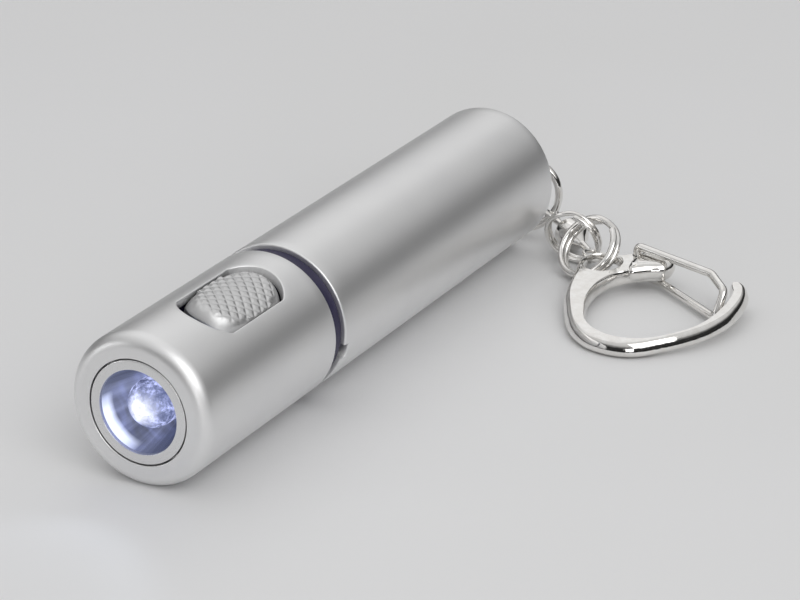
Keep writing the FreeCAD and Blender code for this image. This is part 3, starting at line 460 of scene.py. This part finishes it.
ALUMINIUM = satin_aluminium("satin_aluminium", 0.84, 0.42)
BEZEL_METAL = satin_aluminium("turned_bezel", 0.78, 0.30)
KNOB_METAL = satin_aluminium("knurled_knob", 0.66, 0.43)
NICKEL = nickel("nickel_plate")
NAVY = plastic("navy_plastic", (0.018, 0.014, 0.055))
BLACK = plastic("black_plastic", (0.012, 0.012, 0.014))


# ---------------------------------------------------------------- tubes

def window_half_width(along, front, rear, half, radius):
    """Half the width of a straight-sided shape with bulging round ends."""
    if along < front + radius:
        away = front + radius - along
    elif along > rear - radius:
        away = along - rear + radius
    else:
        return half
    return min(half, math.sqrt(max(radius ** 2 - away ** 2, 0.0)))


def ray_to_window(direction, centre, grow=0.0):
    """Where a ray from the window's centre meets its outline."""
    low, high = 0.0, 20.0
    for _ in range(48):
        middle = (low + high) / 2
        point = centre + direction * middle
        if point.y <= WINDOW_FRONT - grow or point.y >= WINDOW_REAR + grow:
            inside = False
        else:
            inside = abs(point.x) < window_half_width(
                point.y, WINDOW_FRONT - grow, WINDOW_REAR + grow,
                WINDOW_HALF + grow, WINDOW_END_RADIUS + grow)
        if inside:
            low = middle
        else:
            high = middle
    return centre + direction * low


def make_head_shell():
    """Front tube: rounded rim, and a window with softened edges in a cylinder of even quads."""
    segments = 192
    patch = 24
    lip = 0.16
    top, bottom = 4.6, 22.7
    rows = 40
    fan, bends = 6, 5
    rim_inside, rim_depth = 5.55, 1.5
    bm = bmesh.new()

    def on_tube(angle, along, radius):
        return bm.verts.new((radius * math.sin(angle), along, radius * math.cos(angle)))

    def strip(first, second):
        for index in range(len(first) - 1):
            bm.faces.new((first[index], first[index + 1], second[index + 1], second[index]))

    def angle_of(step):
        return TURN * step / segments

    levels = [top + (bottom - top) * row / rows for row in range(rows + 1)]
    for radius in (TUBE_RADIUS, BORE_RADIUS):
        steps = range(patch, segments - patch + 1)
        grid = [[on_tube(angle_of(step), level, radius) for step in steps] for level in levels]
        for near, far in zip(grid, grid[1:]):
            strip(near, far)

    edge = [(step, 0) for step in range(-patch, patch)]
    edge += [(patch, row) for row in range(rows)]
    edge += [(step, rows) for step in range(patch, -patch, -1)]
    edge += [(-patch, row) for row in range(rows, 0, -1)]
    centre = Vector((0.0, (WINDOW_FRONT + WINDOW_REAR) / 2))
    walls = {}
    for radius in (TUBE_RADIUS, BORE_RADIUS):
        grow = lip if radius == TUBE_RADIUS else 0.0
        loops = []
        for step, row in edge:
            angle = angle_of(step)
            outer = Vector((angle, levels[row]))
            flat = Vector((radius * math.sin(angle), levels[row]))
            meet = ray_to_window((flat - centre).normalized(), centre, grow)
            inner = Vector((math.asin(meet.x / radius), meet.y))
            loops.append([on_tube(*inner.lerp(outer, share / fan), radius) for share in range(fan + 1)])
        loops.append(loops[0])
        for near, far in zip(loops, loops[1:]):
            for share in range(fan):
                bm.faces.new((near[share], near[share + 1], far[share + 1], far[share]))
        walls[radius] = [loop[0] for loop in loops]

    wall = []
    for step, row in edge:
        angle = angle_of(step)
        flat = Vector((TUBE_RADIUS * math.sin(angle), levels[row]))
        direction = (flat - centre).normalized()
        outside = ray_to_window(direction, centre, lip)
        inside = ray_to_window(direction, centre)
        column = []
        for share in range(bends):
            bend = math.pi / 2 * share / bends
            point = outside.lerp(inside, math.sin(bend))
            height = math.sqrt(TUBE_RADIUS ** 2 - point.x ** 2) - lip * (1 - math.cos(bend))
            column.append(bm.verts.new((point.x, point.y, height)))
        height = math.sqrt(TUBE_RADIUS ** 2 - inside.x ** 2) - lip
        column.append(bm.verts.new((inside.x, inside.y, height)))
        towards = Vector((BORE_RADIUS * math.sin(angle), levels[row])) - centre
        foot = ray_to_window(towards.normalized(), centre)
        column.append(bm.verts.new((foot.x, foot.y, math.sqrt(BORE_RADIUS ** 2 - foot.x ** 2))))
        wall.append(column)
    wall.append(wall[0])
    for near, far in zip(wall, wall[1:]):
        for share in range(bends + 1):
            bm.faces.new((near[share], near[share + 1], far[share + 1], far[share]))

    front = rounded([
        (0, rim_inside, 0.1), (0, TUBE_RADIUS, 1.5), (top, TUBE_RADIUS, 0),
        (top, BORE_RADIUS, 0), (rim_depth, BORE_RADIUS, 0), (rim_depth, rim_inside, 0)], steps=12)
    rear = rounded([
        (bottom, TUBE_RADIUS, 0), (HEAD_END, TUBE_RADIUS, 0.16),
        (HEAD_END, BORE_RADIUS, 0.1), (bottom, BORE_RADIUS, 0)])
    for outline in (front, rear):
        rings = [[on_tube(angle_of(step), along, radius) for step in range(segments + 1)]
                 for along, radius in outline]
        closing = list(zip(rings, rings[1:] + rings[:1]))
        for (near, far), first, second in zip(closing, outline, outline[1:] + outline[:1]):
            joint_level = top if outline is front else bottom
            if abs(first[0] - joint_level) < 1e-6 and abs(second[0] - joint_level) < 1e-6:
                continue
            strip(near, far)
    obj = mesh_object("head_shell_tube", bm, TORCH)
    settle(obj, "head", "head_shell", ALUMINIUM, "head_shell")


def make_rear_barrel():
    """Rear tube with its rim notch, rounded tail and end wall."""
    start, end = BARREL_START, BARREL_END
    stud_hole, end_wall = 1.16, 1.2
    notch_half, notch_depth, notch_reach = 0.9, 0.9, 0.6
    end_band, bands = 1.5, 12
    first, last = start + end_band, end - end_band
    profile = rounded([
        (start, BORE_RADIUS, 0.08), (start, TUBE_RADIUS, 0.2), (end, TUBE_RADIUS, 0.5),
        (end, stud_hole, 0.1), (end - end_wall, stud_hole, 0), (end - end_wall, BORE_RADIUS, 0.2)])
    outline = []
    for along, radius in profile:
        outline.append((along, radius))
        if abs(radius - TUBE_RADIUS) < 1e-6 and along < start + 1 and (first, radius) not in outline:
            outline += [(first + (last - first) * k / bands, radius) for k in range(bands + 1)]
    outline.append((first, BORE_RADIUS))
    half = math.asin(notch_half / TUBE_RADIUS)
    bm = lathe(outline, 192, [(math.pi / 2, half, notch_depth, start + notch_reach)])
    obj = mesh_object("rear_barrel_tube", bm, TORCH)
    settle(obj, "barrel", "rear_barrel", ALUMINIUM, "rear_barrel")


# ---------------------------------------------------------------- lamp

def make_lamp():
    """Bezel ring, reflector cone and the LED's dome with its flange."""
    mouth, mouth_front, back = 4.4, 0.5, 4.8
    bezel = lathe(rounded([
        (0.05, mouth, 0.06), (0.05, 5.41, 0.12), (1.5, 5.41, 0), (1.5, 6.6, 0.1),
        (2.4, 6.6, 0.1), (2.4, back, 0), (mouth_front, back, 0), (mouth_front, mouth, 0.04)]), 160)
    settle(mesh_object("bezel_face", bezel, TORCH), "head", "bezel_ring", BEZEL_METAL, "bezel_ring")

    depth, narrowing = 6.9, 1.78
    shares = [step / 24 for step in range(25)]
    inside = [(mouth_front + depth * share, mouth - narrowing * share ** 1.35) for share in shares]
    outline = [(mouth_front, back), *inside, (mouth_front + depth, back)]
    # The reflector's material paints the lamp's reflection as emission and the dark room as a navy tint.
    settle(mesh_object("reflector_cone", lathe(outline, 160), TORCH), "head", "reflector",
           mirror_with_painted_glow("metallised_painted_glow"), "reflector")

    tip, led_radius, flange = 0.35, 2.5, 2.85
    angles = [math.pi / 2 * step / 18 for step in range(19)]
    dome = [(tip + led_radius * (1 - math.cos(angle)), led_radius * math.sin(angle)) for angle in angles]
    outline = dome + rounded([
        (8.0, led_radius, 0.15), (8.0, flange, 0.1), (9.0, flange, 0.1), (9.0, 1.5, 0), (4.4, 1.5, 0)])
    outline.append((4.4, 0.0))
    settle(mesh_object("led_dome", lathe(outline, 96), TORCH), "head", "led_lens",
           lit_lens("led_epoxy"), "led_lens")


# ---------------------------------------------------------------- switch

def knurl(across, along, pitch, depth):
    """Depth of the crossed V grooves at a point of the knob's top."""
    groove_share = 0.62
    deepest = 0.0
    for value in ((across + along) / math.sqrt(2), (across - along) / math.sqrt(2)):
        share = abs(value / pitch - round(value / pitch)) * 2
        deepest = max(deepest, 1 - share / groove_share)
    return depth * deepest


def make_knob():
    """Sliding knob with a diamond knurl on top and rounded ends."""
    clearance = 0.12
    travel = 1.8
    front = WINDOW_FRONT + clearance + travel
    rear = WINDOW_REAR - clearance
    half = WINDOW_HALF - clearance
    radius = WINDOW_END_RADIUS
    crown, base = 7.9, 5.2
    slope_length, slope_drop = 1.25, 1.15
    side_round = 0.2
    pitch, depth = 0.9, 0.13
    rows, columns = 220, 120
    bm = bmesh.new()
    grid = []
    for row in range(rows + 1):
        along = front + (rear - front) * row / rows
        width = window_half_width(along, front, rear, half, radius)
        line = []
        for column in range(columns + 1):
            across = width * (2 * column / columns - 1)
            if along < front + radius:
                margin = radius - math.hypot(across, front + radius - along)
            elif along > rear - radius:
                margin = radius - math.hypot(across, along - rear + radius)
            else:
                margin = radius
            share = max(0.0, 1 - max(margin, 0.0) / slope_length)
            drop = slope_drop * share ** 2
            side = max(0.0, side_round - (half - abs(across)))
            drop += side_round - math.sqrt(max(side_round ** 2 - side ** 2, 0.0))
            pattern = knurl(across, along, pitch, depth) * max(0.0, 1 - share * 1.6)
            top = math.sqrt(crown ** 2 - across ** 2)
            line.append(bm.verts.new((across, along, top - drop - pattern)))
        grid.append(line)
    for near, far in zip(grid, grid[1:]):
        for column in range(columns):
            bm.faces.new((near[column], near[column + 1], far[column + 1], far[column]))
    low = [(bm.verts.new((line[0].co.x, line[0].co.y, base)),
            bm.verts.new((line[-1].co.x, line[-1].co.y, base))) for line in grid]
    for index in range(rows):
        near, far = grid[index], grid[index + 1]
        bm.faces.new((near[0], far[0], low[index + 1][0], low[index][0]))
        bm.faces.new((near[-1], low[index][1], low[index + 1][1], far[-1]))
        bm.faces.new((low[index][0], low[index + 1][0], low[index + 1][1], low[index][1]))
    obj = mesh_object("knob_knurled", bm, TORCH, sharp=24)
    settle(obj, "switch", "switch_knob", KNOB_METAL, "switch_knob")


# ---------------------------------------------------------------- chain

def directions(yaw, lean):
    """Across, up and normal of a ring, from its yaw and lean in degrees."""
    yaw, lean = math.radians(yaw), math.radians(lean)
    across = Vector((math.cos(yaw), math.sin(yaw), 0))
    away = Vector((-math.sin(yaw), math.cos(yaw), 0))
    upward = Vector((0, 0, math.cos(lean))) + away * math.sin(lean)
    return across, upward, across.cross(upward)


class Ring:
    """A ring of wire: centre in the frame, its directions, and its radii, in millimetres."""

    def __init__(self, centre, yaw, lean, radius, wire):
        self.centre = Vector(centre)
        self.across, self.upward, self.normal = directions(yaw, lean)
        self.radius = radius
        self.wire = wire

    def point(self, degrees):
        angle = math.radians(degrees)
        return self.centre + self.radius * (
            self.across * math.cos(angle) + self.upward * math.sin(angle))

    def tangent(self, degrees):
        angle = math.radians(degrees)
        return self.upward * math.cos(angle) - self.across * math.sin(angle)

    def mesh(self):
        points = ring_points(self.centre, self.across, self.upward, self.radius, 128)
        return tube_along(points, self.wire, 20, closed=True)


TAIL_RING = Ring((2.64, 26.63, -3.03), 20.2, 4.3, 4.08, 0.45)
LINK_RING = Ring((11.85, 20.88, -4.5), -1.7, -17.6, 3.18, 0.28)
TAIL_GRIP, LINK_GRIP = -37.0, 319.0
SPLIT_RING = Ring((14.73, 19.08, -4.65), -21.9, 40.6, 3.49, 0.38)


def coiled(ring, crossing, step, half_pitch):
    """Two turns of wire side by side, with one step across from turn to turn."""
    points = []
    count = 220
    for index in range(count + 1):
        turn = step + (720 - 2 * step) * index / count
        share = min(max((turn - 360 + step) / (2 * step), 0.0), 1.0)
        smooth = share * share * (3 - 2 * share)
        points.append(ring.point(crossing + turn) + ring.normal * half_pitch * (2 * smooth - 1))
    return tube_along(points, ring.wire, 20)


def make_rings():
    """The plain tail ring, and the two coiled rings."""
    settle(mesh_object("tail_ring_wire", TAIL_RING.mesh(), FRAME_MM), "tail_ring", "tail_ring",
           NICKEL, "tail_ring")
    settle(mesh_object("link_ring_wire", coiled(LINK_RING, 100.0, 22.0, 0.285), FRAME_MM),
           "link_ring", "link_ring", NICKEL, "link_ring")
    settle(mesh_object("split_ring_wire", coiled(SPLIT_RING, 78.0, 22.0, 0.4), FRAME_MM),
           "split_ring", "split_ring", NICKEL, "split_ring")


def wire_loop(reach, radius, wire):
    """Small closed loop across the swivel's axis, its centre this far along it."""
    return tube_along(ring_points(Vector((0, reach, 0)), Vector((0, 1, 0)), Vector((0, 0, 1)),
                                  radius, 64), wire, 16, closed=True)


def make_swivel():
    """Ball-ended eye and the cup it turns in, each with its own wire loop."""
    ball_centre, ball_radius, shank_radius = 5.2, 0.9, 0.38
    cup_mouth, cup_radius, cup_bore = 3.9, 1.7, 1.35
    eye_loop, cup_loop = 0.95, 1.205
    start = TAIL_RING.point(TAIL_GRIP)
    finish = LINK_RING.point(LINK_GRIP)
    along = finish - start
    reach = along.length
    along.normalize()
    for name, tangent in (
            ("swivel_eye", TAIL_RING.tangent(TAIL_GRIP)), ("swivel_body", LINK_RING.tangent(LINK_GRIP))):
        facing = (tangent - along * tangent.dot(along)).normalized()
        third = facing.cross(along)
        place = Matrix((facing, along, third)).transposed().to_4x4()
        place = FRAME_MM @ Matrix.Translation(start) @ place
        if name == "swivel_eye":
            angles = [math.pi * step / 16 for step in range(12, 0, -1)]
            ball = [(ball_centre + ball_radius * math.cos(angle), ball_radius * math.sin(angle))
                    for angle in angles]
            shank = lathe([(0.72, 0.0), (0.9, 0.42), (1.3, 0.45), (1.7, shank_radius), (4.2, shank_radius),
                           *ball, (ball_centre + ball_radius, 0.0)], 32)
            bm = merge(wire_loop(0, eye_loop, 0.3), shank)
        else:
            neck = reach - cup_loop
            cup = lathe(rounded([
                (cup_mouth, 0.6, 0.05), (cup_mouth, cup_radius, 0.4), (6.1, cup_radius, 0.7),
                (6.9, 0.9, 0.4), (7.6, 0.45, 0.2), (neck, 0.3, 0), (neck, 0.0, 0), (6.5, 0.0, 0),
                (6.5, 0.95, 0), (6.1, cup_bore, 0), (4.25, cup_bore, 0), (4.25, 0.6, 0)], 6), 48)
            bm = merge(wire_loop(reach, cup_loop, 0.235), cup)
        settle(mesh_object(name + "_turned", bm, place), name, name, NICKEL, name)


# ---------------------------------------------------------------- clip

CLIP_THICKNESS = 1.75
CLIP_PLACE = (FRAME_MM @ Matrix.Translation((17.2, 17.3, TABLE + 1.22))
              @ Matrix.Rotation(math.radians(3.9), 4, "X"))
CLIP_OUTLINE = [
    (-2.6, -1.17), (-2.05, -2.9), (-1.75, -4.4), (-1.25, -6.4), (-0.55, -8.4), (0.45, -10.4),
    (1.75, -12.7), (3.1, -14.6), (4.5, -15.9), (6.0, -16.8), (7.5, -17.2), (9.0, -17.3),
    (10.5, -17.05), (12.2, -16.2), (14.2, -14.1), (15.4, -12.6), (16.45, -11.0), (17.3, -9.3),
    (17.85, -7.6), (18.2, -5.7), (18.2, -3.6), (17.95, -1.3), (17.45, 0.4), (16.8, 1.6),
    (15.9, 2.25), (15.1, 2.0), (14.85, 1.45), (15.0, 0.85), (15.35, 0.2), (15.8, -0.6),
    (16.15, -2.2), (16.3, -4.4), (16.2, -6.9), (15.8, -9.0), (15.05, -10.7), (14.0, -12.3),
    (12.6, -13.9), (11.2, -14.8), (9.8, -15.25), (8.1, -15.25), (6.5, -14.7), (5.45, -14.0),
    (4.5, -13.0), (3.25, -10.6), (2.45, -8.5), (2.1, -6.6), (2.05, -4.5), (2.5, -2.6), (3.4, -1.3),
    (4.3, -0.2), (5.6, 0.7), (6.8, 1.4), (7.3, 2.5), (6.95, 3.8), (5.6, 4.65), (3.8, 4.7),
    (2.1, 3.8), (0.74, 2.75), (-1.0, 2.67), (-2.3, 1.69), (-2.83, 0.35)]
POST_OUTLINE = [
    (3.7, -0.85), (5.7, 0.45), (7.0, 1.2), (7.55, 2.5), (7.1, 3.95), (5.7, 4.9), (3.9, 4.9),
    (3.1, 3.6), (2.9, 1.0)]
# Heights up the clip's wall, and how far inside the outline the wall is at each.
CLIP_WALL = [
    (0.0, 0.42), (0.06, 0.25), (0.18, 0.11), (0.36, 0.03), (0.55, 0.0), (0.75, 0.03), (0.95, 0.075),
    (1.15, 0.13), (1.35, 0.195), (1.5, 0.26), (1.62, 0.335), (1.7, 0.41), (CLIP_THICKNESS, 0.5)]
BOW_CENTRE = Vector((9.0, -7.0))
GATE_PIN = Vector((2.9, 3.1, 0))
GATE_NOTCH = Vector((15.75, -2.3, 0))


def smooth_loop(points, steps=8):
    """Closed curve through the points, with each stretch's bend set by its neighbours' spacing."""
    count = len(points)
    pts = [Vector(p) for p in points]
    out = []
    for index in range(count):
        p0, p1, p2, p3 = (pts[(index + k) % count] for k in (-1, 0, 1, 2))
        t1 = math.sqrt((p1 - p0).length)
        t2 = t1 + math.sqrt((p2 - p1).length)
        t3 = t2 + math.sqrt((p3 - p2).length)
        for step in range(steps):
            t = t1 + (t2 - t1) * step / steps
            a1 = p0.lerp(p1, t / t1)
            a2 = p1.lerp(p2, (t - t1) / (t2 - t1))
            a3 = p2.lerp(p3, (t - t2) / (t3 - t2))
            b1 = a1.lerp(a2, t / t2)
            b2 = a2.lerp(a3, (t - t1) / (t3 - t1))
            out.append(b1.lerp(b2, (t - t1) / (t2 - t1)))
    return out


def carve(obj, cutters):
    """Cut the cutters out of the object for good."""
    for cutter in cutters:
        change = obj.modifiers.new("cut", "BOOLEAN")
        change.operation = "DIFFERENCE"
        change.solver = "EXACT"
        change.object = cutter
    bpy.context.view_layer.update()
    graph = bpy.context.evaluated_depsgraph_get()
    carved = bpy.data.meshes.new_from_object(obj.evaluated_get(graph))
    obj.modifiers.clear()
    obj.data = carved
    for cutter in cutters:
        bpy.data.objects.remove(cutter)


def hole_cutter(centre, radius, flare=0.0):
    """Round cutter right through the clip, opening out at both faces by the flare."""
    sides = 64
    levels = [(-1.0, radius + flare)]
    if flare:
        for step in range(6):
            rise = math.sin(math.pi / 2 * step / 5)
            levels.append((flare * rise, radius + flare * (1 - rise ** 0.5)))
    levels += [(CLIP_THICKNESS - height, wide) for height, wide in reversed(levels)]
    bm = bmesh.new()
    rings = []
    for height, wide in levels:
        rings.append([bm.verts.new((centre[0] + wide * math.cos(TURN * k / sides),
                                    centre[1] + wide * math.sin(TURN * k / sides), height))
                      for k in range(sides)])
    for near, far in zip(rings, rings[1:]):
        for k in range(sides):
            beside = (k + 1) % sides
            bm.faces.new((near[k], near[beside], far[beside], far[k]))
    bm.faces.new(rings[0])
    bm.faces.new(rings[-1])
    return bm


def prism(outline, low, high):
    """Upright block over a flat outline."""
    bm = bmesh.new()
    floor = [bm.verts.new((x, y, low)) for x, y in outline]
    roof = [bm.verts.new((x, y, high)) for x, y in outline]
    bm.faces.new(floor)
    bm.faces.new(roof)
    for near in range(len(outline)):
        far = (near + 1) % len(outline)
        bm.faces.new((floor[near], floor[far], roof[far], roof[near]))
    return bm


def rounded_slab(outline, thickness, edge):
    """Flat shape with every outer edge rounded, standing on its own underside."""
    shape = bpy.data.curves.new("slab_shape", "CURVE")
    shape.dimensions = "2D"
    shape.fill_mode = "BOTH"
    shape.extrude = thickness / 2 - edge
    shape.bevel_depth = edge
    shape.bevel_resolution = 8
    shape.offset = -edge
    spline = shape.splines.new("POLY")
    points = smooth_loop(outline)
    spline.points.add(len(points) - 1)
    for point, place in zip(spline.points, points):
        point.co = (place.x, place.y, 0, 1)
    spline.use_cyclic_u = True
    drawn = bpy.data.objects.new("slab_drawn", shape)
    bpy.context.scene.collection.objects.link(drawn)
    bpy.context.view_layer.update()
    graph = bpy.context.evaluated_depsgraph_get()
    solid = bpy.data.meshes.new_from_object(drawn.evaluated_get(graph))
    bpy.data.objects.remove(drawn)
    bm = bmesh.new()
    bm.from_mesh(solid)
    bpy.data.meshes.remove(solid)
    for vertex in bm.verts:
        vertex.co.z += thickness / 2
    return bm


def drafted_slab(outline, section, centre):
    """Flat casting whose wall follows the section, rounder where it faces away from the centre."""
    skew = 0.45
    bm = bmesh.new()
    points = smooth_loop(outline)
    count = len(points)
    inward = []
    for index in range(count):
        run = (points[(index + 1) % count] - points[index - 1]).normalized()
        aside = Vector((-run.y, run.x))
        inward.append(aside * (1 + skew * aside.dot((centre - points[index]).normalized())))
    rings = [[bm.verts.new((point.x + aside.x * inset, point.y + aside.y * inset, height))
              for point, aside in zip(points, inward)] for height, inset in section]
    for near, far in zip(rings, rings[1:]):
        for index in range(count):
            following = (index + 1) % count
            bm.faces.new((near[index], near[following], far[following], far[index]))
    bm.faces.new(rings[0])
    bm.faces.new(rings[-1])
    return bm


def crease_flats(mesh, upward):
    """Keep the broad flat faces flat by making the edges round them sharp."""
    sharp = set()
    for polygon in mesh.polygons:
        if abs(polygon.normal.dot(upward)) > 0.9998:
            sharp.update(tuple(sorted(key)) for key in polygon.edge_keys)
    for edge in mesh.edges:
        if tuple(sorted(edge.vertices)) in sharp:
            edge.use_edge_sharp = True


def make_clip():
    """Cast clip with rounded edges, its eye, pin hole and notch, and the bent-wire gate."""
    sharp = 40
    slab = drafted_slab(CLIP_OUTLINE, CLIP_WALL, BOW_CENTRE)
    obj = mesh_object("clip_cast", slab, CLIP_PLACE, sharp)
    under = [(-3.85, -2.6), (1.6, -2.6), (2.2, -1), (2.2, 4.5), (-3.85, 4.5)]
    cutters = [
        mesh_object("cut_under", prism(under, -1, 0.6), CLIP_PLACE),
        mesh_object("cut_eye", hole_cutter((0, 0), 2.1, 0.3), CLIP_PLACE),
        mesh_object("cut_pin", hole_cutter(GATE_PIN, 0.55), CLIP_PLACE),
        mesh_object("cut_notch", hole_cutter(GATE_NOTCH, 0.62), CLIP_PLACE),
    ]
    carve(obj, cutters)
    boss = mesh_object("clip_boss", rounded_slab(POST_OUTLINE, CLIP_THICKNESS + 0.5, 1.1), CLIP_PLACE)
    whole = bmesh.new()
    whole.from_mesh(obj.data)
    whole.from_mesh(boss.data)
    whole.to_mesh(obj.data)
    whole.free()
    bpy.data.objects.remove(boss)
    obj.data.polygons.foreach_set("use_smooth", [True] * len(obj.data.polygons))
    obj.data.set_sharp_from_angle(angle=math.radians(sharp))
    crease_flats(obj.data, CLIP_PLACE.to_3x3().normalized() @ Vector((0, 0, 1)))
    settle(obj, "clip", "clip_body", NICKEL, "clip_body")

    low, high = -0.5, 2.85
    corners = [
        GATE_PIN + Vector((0, 0, 1.1)), GATE_PIN + Vector((0, 0, high)), Vector((13.1, 0.3, high - 0.05)),
        GATE_NOTCH + Vector((0, 0, high - 0.4)), GATE_NOTCH + Vector((-0.3, -1.6, low + 0.35)),
        Vector((6.05, 2.1, low)), GATE_PIN + Vector((0, 0, low)), GATE_PIN + Vector((0, 0, 0.6))]
    wire = tube_along(bent(corners, (0.6, 1.9, 0.9, 0.6, 0.6, 0.6)), 0.46, 24)
    settle(mesh_object("gate_wire", wire, CLIP_PLACE), "gate", "clip_gate", NICKEL, "clip_gate")


def bent(corners, bends, steps=8):
    """Points along straight runs, with each corner rounded to its own bend radius."""
    points = [corners[0]]
    for before, corner, after, bend in zip(corners, corners[1:], corners[2:], bends):
        inward = (corner - before).normalized()
        outward = (after - corner).normalized()
        turn = inward.angle(outward)
        setback = bend * math.tan(turn / 2)
        centre = corner + (outward - inward).normalized() * (bend / math.cos(turn / 2))
        first = (corner - inward * setback - centre).normalized()
        last = (corner + outward * setback - centre).normalized()
        for step in range(steps + 1):
            points.append(centre + bend * first.slerp(last, step / steps))
    points.append(corners[-1])
    longest = 0.8
    spaced = [points[0]]
    for point in points[1:]:
        gap = point - spaced[-1]
        pieces = max(1, int(gap.length / longest))
        origin = spaced[-1]
        spaced += [origin + gap * (k / pieces) for k in range(1, pieces + 1)]
    return spaced


# ---------------------------------------------------------------- CAD nodes that stay

def finish_cad_nodes():
    """Materials for the nodes whose CAD shape is right as it is."""
    brass = plated("brass_leaf", (0.62, 0.42, 0.18))
    bronze = plated("bronze_leaf", (0.55, 0.32, 0.16))
    tin = plated("tinned", (0.6, 0.6, 0.59))
    steel = plated("plated_steel", (0.5, 0.5, 0.49))
    looks = {
        "led_leads": tin,
        "led_chip": glowing("lit_chip"),
        "led_holder": BLACK,
        "battery_sleeve": NAVY,
        "driver_board": solder_mask("board_mask"),
        "boost_coil": BLACK,
        "driver_parts": BLACK,
        "switch_pads": brass,
        "positive_contact": brass,
        "negative_strip": brass,
        "cell_can": steel,
        "cell_wrap": shrink_film("wrap_film"),
        "cell_button": steel,
        "slider_carrier": NAVY,
        "slider_contact": bronze,
        "tail_spring": steel,
        "tail_stud": NICKEL,
    }
    for name, look in looks.items():
        mesh = nodes[name].data
        mesh.materials.clear()
        mesh.materials.append(look)
        for polygon in mesh.polygons:
            polygon.material_index = 0


# ---------------------------------------------------------------- stage, light and camera

def make_stage():
    """Flat table top, in metres."""
    reach = 0.9
    bm = bmesh.new()
    corners = [bm.verts.new((x * reach, y * reach, 0)) for x, y in ((-1, -1), (1, -1), (1, 1), (-1, 1))]
    bm.faces.new(corners)
    floor = mesh_object("table_top", bm, Matrix.Translation((0, 0, TABLE * MM)))
    floor.data.materials.append(pale_table("table_surface"))


def aim(obj, target):
    """Point a light or camera at a place."""
    direction = Vector(target) - obj.location
    obj.rotation_mode = "QUATERNION"
    obj.rotation_quaternion = direction.to_track_quat("-Z", "Y")


def area_light(name, location, size, power):
    """Rectangular light pointed at the torch, in metres and watts."""
    data = bpy.data.lights.new(name, "AREA")
    data.shape = "RECTANGLE"
    data.size, data.size_y = size
    data.energy = power
    lamp = bpy.data.objects.new(name, data)
    lamp.location = location
    aim(lamp, (0, 0, 0))
    bpy.context.scene.collection.objects.link(lamp)


def make_light():
    """Pale ceiling over a dark horizon, a broad key, and strips that show in the plating."""
    world = bpy.data.worlds.new("soft_room")
    world.use_nodes = True
    tree = world.node_tree
    background = tree.nodes["Background"]
    place = tree.nodes.new("ShaderNodeTexCoord")
    parts = tree.nodes.new("ShaderNodeSeparateXYZ")
    ramp = tree.nodes.new("ShaderNodeValToRGB")
    tree.links.new(place.outputs["Generated"], parts.inputs[0])
    tree.links.new(parts.outputs["Z"], ramp.inputs[0])
    tree.links.new(ramp.outputs[0], background.inputs["Color"])
    elements = ramp.color_ramp.elements
    elements[0].position, elements[0].color = 0.0, (0.03, 0.03, 0.03, 1)
    elements[1].position, elements[1].color = 0.85, (1.0, 1.0, 1.0, 1)
    for position, level in ((0.25, 0.04), (0.38, 0.40), (0.49, 0.82)):
        stop = elements.new(position)
        stop.color = (level, level, level, 1)
    background.inputs["Strength"].default_value = 0.72
    bpy.context.scene.world = world
    area_light("key", (-0.32, 0.12, 0.72), (0.75, 0.75), 0.35)
    area_light("fill", (0.50, -0.34, 0.46), (0.6, 0.6), 1.9)
    area_light("back", (-0.25, 0.55, 0.37), (0.5, 0.4), 0.21)
    area_light("left_strip", (-0.50, -0.42, 0.10), (0.24, 0.08), 0.28)
    area_light("front_strip", (0.30, -0.55, 0.10), (0.16, 0.08), 0.2)

    beam = bpy.data.lights.new("lamp_beam", "SPOT")
    beam.energy = 0.0012
    beam.color = (0.75, 0.84, 1.0)
    beam.spot_size = math.radians(104)
    beam.spot_blend = 0.6
    beam.shadow_soft_size = 0.001
    lamp = bpy.data.objects.new("lamp_beam", beam)
    lamp.location = (0, (FRONT - 0.5) * MM, 0)
    aim(lamp, (0, (FRONT - 100) * MM, 0))
    bpy.context.scene.collection.objects.link(lamp)


def make_camera():
    """Long lens in front of the torch, above it and on its +X side."""
    data = bpy.data.cameras.new("camera")
    data.sensor_width = 36.0
    data.lens = 142.6
    data.clip_start, data.clip_end = 0.01, 10.0
    camera = bpy.data.objects.new("camera", data)
    camera.location = Vector((155.12, -276.38, 129.96)) * MM
    yaw, drop = math.radians(-29.11), math.radians(23.35)
    forward = Vector((math.sin(yaw) * math.cos(drop), math.cos(yaw) * math.cos(drop), -math.sin(drop)))
    aim(camera, camera.location + forward)
    bpy.context.scene.collection.objects.link(camera)
    bpy.context.scene.camera = camera


make_head_shell()
make_rear_barrel()
make_lamp()
make_knob()
make_rings()
make_swivel()
make_clip()
finish_cad_nodes()
make_stage()
make_light()
make_camera()
bpy.context.scene.view_settings.view_transform = "Standard"
